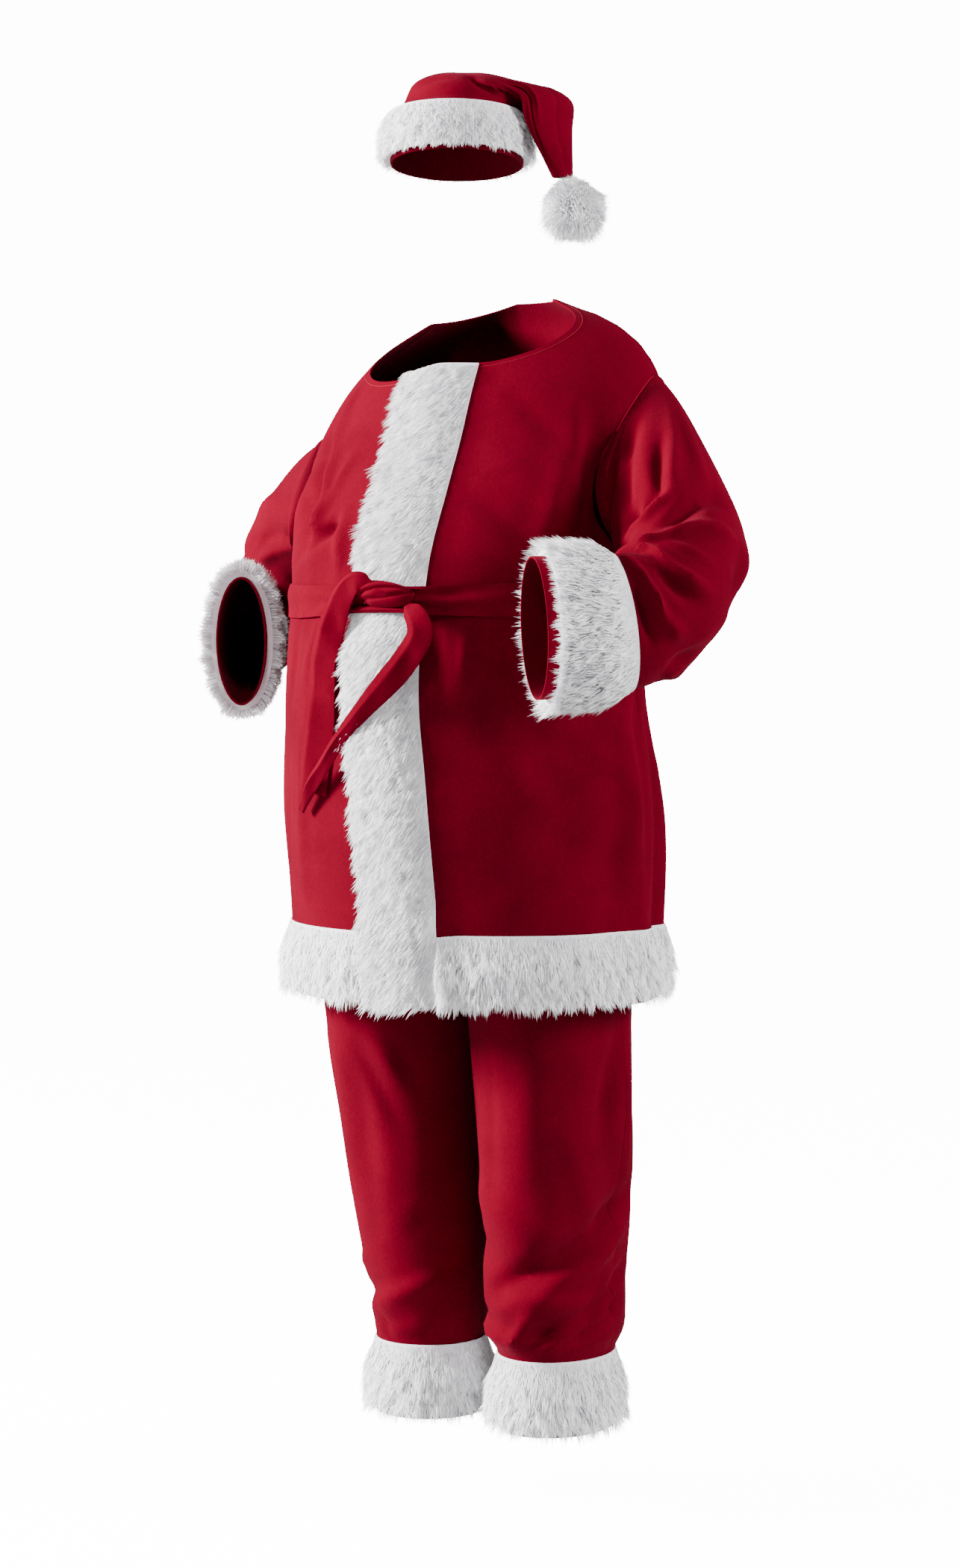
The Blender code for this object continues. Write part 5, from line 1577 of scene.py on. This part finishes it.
@dataclass
class Jacket:
    """The wrap jacket: back, two fronts, two sleeves and their fur.

    Attributes:
        grid: Spacing of the points on the cloth.
        neck_stitch_inset: Distance of the stitching below the neckline.
        neck_stitch_lift: Height of the stitching over the cloth.
        band_low: Share of the free edge that the front band leaves at the hem.
        sewn_dip: How deep a sleeve is drawn in at the armhole, and how far that reaches.
        armhole_rows: Rows of points from the underarm to the shoulder's tip.
        band_columns: Columns of points across the front band.
        under_columns: Columns on the part of the right front that lies under the lap.
        front_width: Width that a front's columns are counted on.
        back_width: The same for the back.
    """

    grid: float = FLEECE_GRID
    neck_stitch_inset: float = 0.007
    neck_stitch_lift: float = 0.0002
    band_low: float = 0.7
    sewn_dip: tuple[float, float] = (0.0011, 0.005)
    armhole_rows: int = 36
    band_columns: int = 14
    under_columns: int = 11
    front_width: float = 0.328
    back_width: float = 0.704

    def levels(self) -> Array:
        """Rows from the hem to the neckline, closer together at the armholes' ends."""
        skirt = level_rows(HEM_HEIGHT, UNDERARM_HEIGHT, self.grid)[:-1]
        steps = np.arange(self.armhole_rows + 1) / self.armhole_rows
        arm = ARM_MID - ARM_HALF * np.cos(np.pi * steps)
        top = level_rows(SHOULDER_TIP_HEIGHT, NECK_SIDE_HEIGHT, self.grid)[1:]
        return np.concatenate((skirt, arm, top))

    @staticmethod
    def side_turn(levels: Array, behind: bool = False) -> Array:
        """The turn of the side seam, or of the armhole's edge, at each level."""
        opening = armhole_turn(levels) + JACKET.width_turn(SEAM / 2, levels)
        return 90 + opening if behind else 90 - opening

    def left_turns(self, levels: Array) -> Array:
        """Columns of the left front, from its free edge to the side."""
        half = JACKET.width_turn(FRONT_BAND_HALF, levels)
        count = int(self.front_width / self.grid)
        return np.concatenate((spread(-half, half, self.band_columns)[:, :-1],
                               spread(half, self.side_turn(levels), count)), axis=1)

    def right_turns(self, levels: Array) -> Array:
        """Columns of the right front, from the side to the edge under the lap."""
        half = JACKET.width_turn(FRONT_BAND_HALF, levels)
        edge = half + JACKET.width_turn(LAP_EDGE_GAP, levels)
        under = JACKET.width_turn(LAP_UNDER, levels)
        count = int(self.front_width / self.grid)
        return np.concatenate((spread(-self.side_turn(levels), -edge, count)[:, :-1],
                               spread(-edge, under, self.under_columns)), axis=1)

    def back_turns(self, levels: Array, step: float) -> Array:
        """Columns of the back, from the left side round to the right one."""
        side = self.side_turn(levels, behind=True)
        return spread(side, 360 - side, int(self.back_width / step))

    def panels(self, room: Workroom) -> dict[str, Piece]:
        """Makes the back and the two fronts."""
        levels = self.levels()
        made = {}
        layout = (("jacket_front_left", self.left_turns(levels), (False, True)),
                  ("jacket_front_right", self.right_turns(levels), (True, False)),
                  ("jacket_back", self.back_turns(levels, self.grid), (True, True)))
        for name, turns, seams in layout:
            alongs = each_column(levels, turns)
            offset = lap_lift(turns, alongs) if name == "jacket_front_left" else 0.0
            made[name] = Panel(name + "_cloth", JACKET, turns, alongs, offset,
                               seams=seams).build(room.red)
        return made

    def front_band(self, room: Workroom) -> Pair:
        """Makes the fur band down the left front edge."""
        low = HEM_HEIGHT + FREE_EDGE * self.band_low
        levels = level_rows(low, NECK_SIDE_HEIGHT - 0.002, PILE_GRID)
        half = JACKET.width_turn(FRONT_BAND_HALF, levels)
        free = half - JACKET.width_turn(FREE_EDGE, levels)
        turns = spread(-free, half, self.band_columns - 1)
        alongs = each_column(levels, turns)
        return FurBand("front_band_fur", JACKET, turns, alongs, front_band_height(turns, alongs),
                       FRONT_COMB, lap_lift(turns, alongs) + LAY).build(room)

    def hem_bands(self, room: Workroom) -> dict[str, Pair]:
        """Makes the fur round the hem, one piece on each panel."""
        levels = level_rows(HEM_HEIGHT + FREE_EDGE, HEM_BAND_TOP, PILE_GRID)
        half = JACKET.width_turn(FRONT_BAND_HALF, levels)
        side = self.side_turn(levels)
        edge = half + JACKET.width_turn(LAP_EDGE_GAP, levels)
        count = int(self.front_width / PILE_GRID)
        sides = {
            "left": spread(half + JACKET.width_turn(SEAM, levels), side, count),
            "right": spread(-side, -edge, count),
            "back": self.back_turns(levels, PILE_GRID),
        }
        made = {}
        for name, turns in sides.items():
            alongs = each_column(levels, turns)
            across = (HEM_BAND_TOP - alongs) / (HEM_BAND_TOP - HEM_HEIGHT)
            height = fur_height(across, turns)
            if name == "right":
                height = height * (1 - LAP_THINS * ease(*LAP_THINNING, turns))
            base = lap_lift(turns, alongs) + LAY if name == "left" else LAY
            made[name] = FurBand("hem_%s_fur" % name, JACKET, turns, alongs, height,
                                 BAND_COMB, base).build(room)
        return made

    def sleeve(self, side: str, room: Workroom) -> tuple[Piece, Pair]:
        """Makes a sleeve and its fur cuff."""
        surface = SleeveSurface(side)
        head = np.array((0.0, 0.005, 0.010, 0.016, 0.023, 0.031))
        alongs = np.concatenate((head, level_rows(0.040, 1.0, SLEEVE_GRID / SLEEVE_LENGTH)))
        turns, alongs = np.meshgrid(ring_turns(120), alongs)
        depth, reach = self.sewn_dip
        dip = -depth * np.exp(-(alongs * SLEEVE_LENGTH / reach) ** 2)
        cloth = Panel("sleeve_%s_cloth" % side, surface, turns, alongs, dip, ring=True).build(
            room.red)
        end = 1.0 - FREE_EDGE / SLEEVE_LENGTH
        turns, alongs = np.meshgrid(ring_turns(64), np.linspace(CUFF_FROM, end, 13))
        across = (alongs - CUFF_FROM) / (1 - CUFF_FROM)
        height = fur_height(across, turns * 0.6 + alongs * 3)
        cuff = FurBand("cuff_%s_fur" % side, surface, turns, alongs, height, CUFF_COMB,
                       ring=True).build(room)
        return cloth, cuff

    def neck_stitches(self, room: Workroom) -> Piece:
        """Lays the stitching that holds the turned neckline."""
        level = NECK_SIDE_HEIGHT - self.neck_stitch_inset
        half = float(JACKET.width_turn(FRONT_BAND_HALF, np.array(level)))
        turns = np.arange(half + 1.0, 360 - half - 1.0, 1.2)
        alongs = np.full(turns.shape, level)
        lift = lap_lift(turns, alongs) + self.neck_stitch_lift
        route = JACKET.points(turns, alongs) + JACKET.normals(turns, alongs) * lift[:, None]
        return room.sew("neck_stitches", route)

    def build(self, room: Workroom) -> list[Piece]:
        """Makes the jacket, logs its pieces' cloth areas and gives back its panels."""
        cloths = self.panels(room)
        front_fur = self.front_band(room)
        hems = self.hem_bands(room)
        at_home(self.neck_stitches(room), "red_fleece")
        for node, piece in cloths.items():
            at_home(piece, "red_fleece", node)
        front_band, front_pile = fur_home(front_fur, "front_band")
        for name, fur in hems.items():
            backing, locks = fur_home(fur, "hem_band_" + name)
            declare(backing, "hem_" + name)
        declare(front_band, "front_band")
        for node, piece in cloths.items():
            declare(piece, node)
        for side in SIDES:
            cloth, fur = self.sleeve(side, room)
            at_home(cloth, "red_fleece", "sleeve_%s_upper" % side, "sleeve_%s_lower" % side)
            backing, locks = fur_home(fur, "cuff_band_" + side)
            declare(cloth, "sleeve")
            declare(backing, "cuff")
        return list(cloths.values())


# ---- the belt ----------------------------------------------------------------------------------


@dataclass
class Belt:
    """The tie belt: a round over the jacket, a knot in front and two free ends.

    Attributes:
        columns: Columns of points round the belt.
        levels: Rows of points across it.
        gather_reach: Turn from the knot within which the round is gathered.
        narrowing: Share of its width that the round loses there.
        waver: How far the round strays from level.
        deepest: The pleats' greatest depth.
        slack: Height of the round over what it lies on.
        knot_turn: Where the knot sits.
        knot_rise: How far its middle stands over the belt's.
        knot_half_wide: Half its width.
        knot_half_tall: Half its height.
        knot_deep: Its depth.
        tail_rows: Rows of points down a free end.
        tail_columns: Columns of points across it.
        tail_gather: Share of its width that is left at the knot.
        edge_thinning: Share of its thickness that it loses at its edges.
    """

    columns: int = 330
    levels: int = 12
    gather_reach: float = 26.0
    narrowing: float = 0.24
    waver: float = 0.0018
    deepest: float = 0.0024
    slack: float = 0.0010
    knot_turn: float = 1.5
    knot_rise: float = 0.006
    knot_half_wide: float = 0.038
    knot_half_tall: float = 0.018
    knot_deep: float = 0.017
    tail_rows: int = 84
    tail_columns: int = 17
    tail_gather: float = 0.45
    edge_thinning: float = 0.45

    def wrap(self, room: Workroom) -> Piece:
        """Makes the round, gathered into pleats where it runs into the knot."""
        turns = np.linspace(-180.0, 180.0, self.columns, endpoint=False)
        turns, levels = np.meshgrid(turns, np.linspace(BELT_LOW, BELT_HIGH, self.levels))
        seat = over_jacket(turns, levels)
        for merged in (np.max, np.mean):
            seat = merged([np.roll(seat, step, axis=1) for step in range(-3, 4)], axis=0)
        across = (levels - BELT_MIDDLE) / (BELT_HIGH - BELT_LOW) * 2
        near = np.exp(-((turns - self.knot_turn) / self.gather_reach) ** 2)
        drift = 0.5 * sines(turns * 2.0)[0] + 0.3 * sines(turns * 5.0 + 40)[0]
        pleats = np.sin(across * (3.2 + 4.0 * near) + drift * 2 + 0.8)
        relief = pleats * (0.0013 + 0.0020 * near) - 0.0014 * np.abs(across) ** 5
        narrow = 1 - self.narrowing * near
        waver = self.waver * sines(turns * 3.0 + 20)[0]
        heights = BELT_MIDDLE + (levels - BELT_MIDDLE) * narrow + waver * (1 - near)
        offset = seat + LAY + BELT_CLOTH + np.maximum(relief, -self.deepest) + self.slack
        return Panel("belt_round", JACKET, turns, heights, offset, BELT_CLOTH, True).build(
            room.belt)

    def knot(self, room: Workroom) -> Piece:
        """Makes the knot: the strip crossing over itself, in long folds that fan to its left."""
        around, rings = 96, 34
        crease_width, step_width = 0.13, 0.16
        folds = ((0.34, -0.34, 0.10, 0.0036), (-0.30, 0.20, 0.34, 0.0036))
        turn, level = np.array(self.knot_turn), np.array(BELT_MIDDLE + self.knot_rise)
        normal = JACKET.normals(turn, level)
        base = JACKET.points(turn, level) + normal * (over_jacket(turn, level) + LAY + BELT_CLOTH)
        across = -unit(np.cross(normal, (0.0, 0.0, 1.0)))
        up = -np.cross(across, normal)
        lift = (np.arange(rings) / (rings - 0.2))[:, None]
        angle = np.radians(ring_turns(around))[None, :]
        size = np.sqrt(1 - lift ** 2.4)
        crossing = 1 + 0.10 * np.cos(2 * angle + 0.9) - 0.07 * np.abs(np.sin(1.5 * angle))
        side = size * crossing * np.cos(angle)
        tall = size * crossing * np.sin(angle)
        relief = 0.0
        for start, bend, fan, depth in folds:
            off = tall - (start + bend * (side - 0.2) ** 2 + fan * side)
            relief = relief - depth * np.exp(-(off / crease_width) ** 2)
            relief = relief + 0.5 * depth * np.tanh(off / step_width)
        out = KNOT_GAP + self.knot_deep * lift + relief * ease(0.10, 0.45, lift)
        points = (base + across * (self.knot_half_wide * side)[..., None]
                  + up * (self.knot_half_tall * tall)[..., None] + normal * out[..., None])
        last = (rings - 1) * around
        faces = grid_faces(rings, around, True).tolist()
        faces += [list(range(around))[::-1], list(range(last, last + around))]
        return new_object("belt_knot_folds", points, faces, [room.belt])

    def tail(self, name: str, stations: Sequence[TailStation], fold: float, room: Workroom
             ) -> Piece:
        """Makes a free end, folded along a ridge that runs down it.

        Args:
            name: The piece's name.
            stations: The end's middle line and half widths.
            fold: Where across it the ridge runs, from -1 to 1.
            room: The shared workroom.
        """
        table = Table(stations, range(len(stations)))
        last = len(stations) - 1.0
        stride = 0.3

        def middle(at: Array) -> tuple[Array, Array, TailStation]:
            """Centre, outward direction and row at a station."""
            place = table.at(np.clip(at, 0.0, last))
            normal = JACKET.normals(place.turn, place.height)
            return (JACKET.points(place.turn, place.height) + normal * place.off[..., None],
                    normal, place)

        share = np.linspace(0.0, last, self.tail_rows)
        centre, normal, place = middle(share)
        across = unit(np.cross(middle(share + stride)[0] - middle(share - stride)[0], normal))
        side = np.linspace(-1.0, 1.0, self.tail_columns)[None, :]
        run = np.linspace(0.0, 1.0, self.tail_rows)[:, None]
        fold = fold + 0.12 * np.sin(run * 7.0 + 0.6)
        peak = np.where(side < fold, (side + 1) / (fold + 1), (1 - side) / (1 - fold))
        lift = place.tilt[:, None] * side + place.ridge[:, None] * (peak ** 1.3 - 0.3)
        ripple = 0.0007 * np.sin(run * 26 + side * 2.5) * np.sin(run * 11 + 1.0)
        wide = place.half_width[:, None] * side * (1 + 0.025 * np.sin(run * 21 + side))
        wide = wide * (self.tail_gather + (1 - self.tail_gather) * ease(0.0, 0.05, run))
        face = (centre[:, None] + across[:, None] * wide[..., None]
                + normal[:, None] * (lift * ease(0.0, 0.08, run) + ripple)[..., None])
        half = BELT_CLOTH / 2 * (1 - self.edge_thinning * np.abs(side) ** 6)
        outer = face + normal[:, None] * half[..., None]
        inner = face - normal[:, None] * half[..., None]
        return wall(name, outer, inner, np.broadcast_to(normal[:, None], outer.shape), False,
                    room.belt)

    def build(self, room: Workroom, jacket: Sequence[Piece]) -> None:
        """Makes the belt and logs its pieces' cloth areas."""
        wrap, knot = self.wrap(room), self.knot(room)
        tail_a = self.tail("belt_end_a", TAIL_A, 0.50, room)
        tail_b = self.tail("belt_end_b", TAIL_B, 0.35, room)
        nodes = ("belt_wrap", "belt_knot", "belt_tail_a", "belt_tail_b")
        for piece, node in zip((wrap, knot, tail_a, tail_b), nodes):
            at_home(piece, "belt_fleece", node)
        declare(wrap, "belt_round")
        for tail in (tail_a, tail_b):
            declare(tail, tail.name)


# ---- the trousers ------------------------------------------------------------------------------


@dataclass
class Trousers:
    """Four panels, an elastic waist and fur round the feet of the legs.

    Attributes:
        grid: Spacing of the points on the cloth.
        panel_width: Width that a panel's columns are counted on.
        half_depth: Half a leg's depth, for the gap at its seams.
        band_columns: Columns of points on half a leg band.
    """

    grid: float = 0.0078
    panel_width: float = 0.30
    half_depth: float = 0.09
    band_columns: int = 30

    def turns(self, front: bool, count: int) -> Array:
        """Columns of a panel, from the inseam to the outer side."""
        edge = math.degrees(SEAM / 2 / self.half_depth)
        turns = np.linspace(-90 + edge, 90 - edge, count + 1)
        return turns if front else 180 - turns

    def panel(self, side: str, part: str, room: Workroom) -> Piece:
        """Makes one panel."""
        surface = SeatedLeg(side)
        heights = level_rows(LEG_HEM_HEIGHT, WAIST_HEIGHT - WAISTBAND, self.grid)
        turns, alongs = np.meshgrid(
            self.turns(part == "front", int(self.panel_width / self.grid)), heights)
        return Panel("trouser_%s_%s_cloth" % (side, part), surface, turns, alongs,
                     seam_dip=0.0010, pucker=0.0005).build(room.red)

    def band(self, side: str, room: Workroom) -> Pair:
        """Makes the fur round the foot of a leg."""
        heights = level_rows(LEG_HEM_HEIGHT + FREE_EDGE, LEG_BAND_TOP, PILE_GRID)
        fronts, backs = (self.turns(front, self.band_columns) for front in (True, False))
        turns, alongs = np.meshgrid(np.concatenate((fronts, backs[::-1])), heights)
        across = (LEG_BAND_TOP - alongs) / (LEG_BAND_TOP - LEG_HEM_HEIGHT)
        return FurBand("leg_%s_fur" % side, SeatedLeg(side), turns, alongs,
                       fur_height(across, turns), BAND_COMB, ring=True).build(room)

    def waist(self, room: Workroom) -> Piece:
        """Makes the casing, gathered by the elastic inside it."""
        turns, alongs = np.meshgrid(ring_turns(384),
                                    np.linspace(WAIST_HEIGHT - WAISTBAND + SEAM, WAIST_HEIGHT, 9))
        across = (alongs - WAIST_HEIGHT + WAISTBAND / 2) / WAISTBAND * 2
        casing = CLOTH + 0.001
        offset = -0.0010 * np.abs(across) ** 3
        offset -= 0.0007 * np.exp(-((np.abs(across) - 0.55) / 0.10) ** 2)
        return Panel("waist_casing", Waist(), turns, alongs, offset, casing, True).build(room.red)

    def build(self, room: Workroom) -> None:
        """Makes the trousers and logs their pieces' cloth areas."""
        for side in SIDES:
            for part in ("front", "back"):
                panel = self.panel(side, part, room)
                at_home(panel, "red_fleece", "trouser_%s_%s" % (side, part))
                declare(panel, "trouser")
            backing, locks = fur_home(self.band(side, room), "leg_band_" + side)
            declare(backing, "leg")
        waist = at_home(self.waist(room), "red_fleece", "waistband")
        declare(waist, "waist")


class SeatedLeg(LegSurface):
    """A leg whose points stay on their own side of the middle seam."""

    joined_from = CROTCH_HEIGHT - 0.06

    def points(self, turn: Array, along: Array) -> Array:
        """Points of the outer face."""
        point = super().points(turn, along)
        keep = np.maximum(point[..., 0] * self.side, SEAM / 2 + 0.0001) * self.side
        point[..., 0] = np.where(np.asarray(along) > self.joined_from, keep, point[..., 0])
        return point


class Waist(Surface):
    """The gathered waist: turn 0 is the front, along the height."""

    gathers = 32
    gather_depth = 0.0016
    uneven = 0.35             # share by which the gathers' depth varies
    sway = 24                 # degrees by which they stray from even spacing

    def __init__(self) -> None:
        """Reads the hips' rings."""
        self.hips = Table(HIP_RINGS)

    def points(self, turn: Array, along: Array) -> Array:
        """Points of the outer face."""
        turn, along = matched(turn, along)
        hip = self.hips.at(along)
        sine, cosine = sines(turn)
        depths = self.gather_depth * (1 + self.uneven * sines(turn * 3 + 40)[0])
        gather = depths * sines(self.gathers * turn + self.sway * sines(turn * 5)[0])[1]
        depth = np.where(cosine > 0, hip.front, hip.back)
        return placed((hip.half_width + gather) * sine, -(depth + gather) * cosine, along)


# ---- the hat -----------------------------------------------------------------------------------


@dataclass
class Hat:
    """The hat: two halves of the crown, its fur band and the pompom on its tail.

    Attributes:
        grid: Spacing of the points on the cloth.
        length: Length that the rows are counted on.
        half_girth: Width that a half's columns are counted on.
        half_width: Half the hat's width, for the gap at its seams.
        core: Radius of the pompom's stuffed core.
        rooting: Share of that radius at which its locks begin.
    """

    grid: float = 0.0050
    length: float = 0.40
    half_girth: float = 0.31
    half_width: float = 0.085
    core: float = 0.0285
    rooting: float = 0.93

    def half(self, name: str, start: float, room: Workroom) -> Piece:
        """Makes one half of the crown."""
        edge = math.degrees(SEAM / 2 / self.half_width)
        turns, alongs = np.meshgrid(
            np.linspace(start + edge, start + 180 - edge, int(self.half_girth / self.grid) + 1),
            np.linspace(0.0, 1.0, int(self.length / self.grid) + 1))
        return Panel(name + "_cloth", CrownSurface(), turns, alongs, seam_dip=0.0012).build(
            room.red)

    def band(self, room: Workroom) -> Pair:
        """Makes the fur round the rim."""
        turns, alongs = np.meshgrid(ring_turns(76),
                                    np.linspace(0.022, HAT_BAND_TOP, 10))
        height = fur_height(1 - alongs / HAT_BAND_TOP * 0.9, turns, HAT_FUR)
        return FurBand("hat_band_fur", CrownSurface(), turns, alongs, height, HAT_COMB,
                       ring=True, backing=0.6).build(room)

    def pompom(self, room: Workroom) -> Pair:
        """Makes the stuffed core and the pile that stands out of it all round."""
        centre = CrownSurface.on_head(*(np.array(value) for value in POMPOM_CENTRE))
        ball = bpy.data.meshes.new("ball")
        form = bmesh.new()
        bmesh.ops.create_icosphere(form, subdivisions=5, radius=1.0)
        form.to_mesh(ball)
        form.free()
        away = np.array([vertex.co[:] for vertex in ball.vertices])
        faces = np.array([face.vertices[:] for face in ball.polygons])
        bpy.data.meshes.remove(ball)
        x, y, z = away.T
        lumps = 1 + 0.05 * np.sin(x * 7 + 1) * np.sin(y * 6 + 2) * np.cos(z * 5)
        # The core takes the fur finish's root colour, painted shade, all over.
        core = new_object("pompom_core", centre + away * self.core * lumps[:, None], faces,
                          [room.fur])
        whirl = np.stack((np.sin(y * 5), np.sin(z * 6 + 1), np.sin(x * 5 + 2)), axis=-1)
        droop = np.array((0.0, 0.0, -0.0045)) + 0.0035 * whirl
        roots = centre + away * self.core * self.rooting
        rise = np.full(len(away), POMPOM_REACH - self.core * self.rooting - 0.001)
        locks = room.grow("pompom_pile", roots, faces, away, droop, rise, Density=LOCKS * 2.4,
                          Tuft_Pull=0.0032, Twist=2.5)
        return core, locks

    def build(self, room: Workroom) -> None:
        """Makes the hat and logs its pieces' cloth areas."""
        halves = [at_home(self.half(name, start, room), "red_fleece", name)
                  for name, start in (("hat_front", -90.0), ("hat_back", 90.0))]
        for half in halves:
            declare(half, "hat_half")
        backing, locks = fur_home(self.band(room), "hat_band")
        declare(backing, "hat_band")
        core = fur_home(self.pompom(room), "pompom")[0]


# ---- the studio --------------------------------------------------------------------------------


@dataclass(frozen=True)
class Lamp:
    """A soft square light that looks at a point."""

    name: str
    place: Triple
    target: Triple
    size: float
    power: float

    def build(self) -> None:
        """Makes the light."""
        data = bpy.data.lights.new(self.name, "AREA")
        data.shape = "SQUARE"
        data.size = self.size
        data.energy = self.power
        lamp = linked(self.name, data)
        lamp.location = self.place
        look = Vector(self.target) - Vector(self.place)
        lamp.rotation_euler = look.to_track_quat("-Z", "Y").to_euler()


@dataclass
class Studio:
    """A pale floor, soft lights and the camera."""

    floor_radius: float = 6.0
    floor_height: float = -NECK_BASE_HEIGHT
    floor_glow: float = 14.0
    sky_glow: float = 14.0
    ambience: float = 0.045
    lamps: tuple[Lamp, ...] = (
        Lamp("key", (-3.8, -2.4, 1.1), (0.0, 0.0, -0.35), 1.3, 1380.0),
        Lamp("front", (0.7, -2.6, 2.4), (0.0, 0.0, -0.2), 0.6, 60.0),
        Lamp("top", (0.3, 0.6, 3.4), (0.0, 0.0, -0.6), 2.5, 50.0),
        Lamp("rim", (3.6, 0.8, 0.8), (0.0, 0.0, -0.4), 1.3, 300.0),
    )

    def floor(self) -> None:
        """Makes the floor."""
        finish = bpy.data.materials.new("studio_floor")
        finish.use_nodes = True
        shader = finish.node_tree.nodes["Principled BSDF"]
        shader.inputs["Base Color"].default_value = (0.42, 0.42, 0.42, 1.0)
        shader.inputs["Roughness"].default_value = 0.85
        shader.inputs["Specular IOR Level"].default_value = 0.1
        shader.inputs["Emission Color"].default_value = WHITE
        graph = Graph(finish.node_tree)
        seen = graph.node("ShaderNodeLightPath").outputs["Is Camera Ray"]
        finish.node_tree.links.new(graph.product(seen, self.floor_glow),
                                   shader.inputs["Emission Strength"])
        corners = 96
        angles = np.linspace(0.0, 2 * np.pi, corners, endpoint=False)
        points = np.stack((np.cos(angles) * self.floor_radius, np.sin(angles) * self.floor_radius,
                           np.full(corners, self.floor_height)), axis=-1)
        new_object("studio_floor", points, [list(range(corners))], [finish])

    def world(self) -> None:
        """Makes the world: white where the camera sees it, dimmer as light."""
        world = bpy.data.worlds.new("studio_world")
        world.use_nodes = True
        world.node_tree.nodes.clear()
        graph = Graph(world.node_tree)
        path = graph.node("ShaderNodeLightPath")
        dim = graph.node("ShaderNodeBackground", Color=WHITE, Strength=self.ambience)
        white = graph.node("ShaderNodeBackground", Color=WHITE, Strength=self.sky_glow)
        mix = graph.node("ShaderNodeMixShader", i0=path.outputs["Is Camera Ray"],
                         i1=dim.outputs[0], i2=white.outputs[0])
        graph.node("ShaderNodeOutputWorld", Surface=mix.outputs[0])
        bpy.context.scene.world = world

    def camera(self) -> None:
        """Makes the camera."""
        data = bpy.data.cameras.new("camera")
        data.sensor_fit = "VERTICAL"
        data.sensor_height = 36.0
        data.lens = 81.2
        data.shift_x = 0.0014
        data.dof.use_dof = False
        camera = linked("camera", data)
        camera.location = (2.043, -4.010, -0.300)
        camera.rotation_euler = (math.radians(86.6), 0.0, math.radians(27.0))
        bpy.context.scene.camera = camera

    def build(self) -> None:
        """Sets the stage."""
        self.floor()
        self.world()
        for lamp in self.lamps:
            lamp.build()
        self.camera()


def main() -> None:
    """Builds the suit's looks and the studio round it."""
    logging.basicConfig(level=logging.INFO, stream=sys.stdout, format="%(message)s")
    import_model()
    room = Workroom()
    jacket_panels = Jacket().build(room)
    Belt().build(room, jacket_panels)
    Trousers().build(room)
    Hat().build(room)
    room.clear_tools()
    Studio().build()


if __name__ == "__main__":
    main()
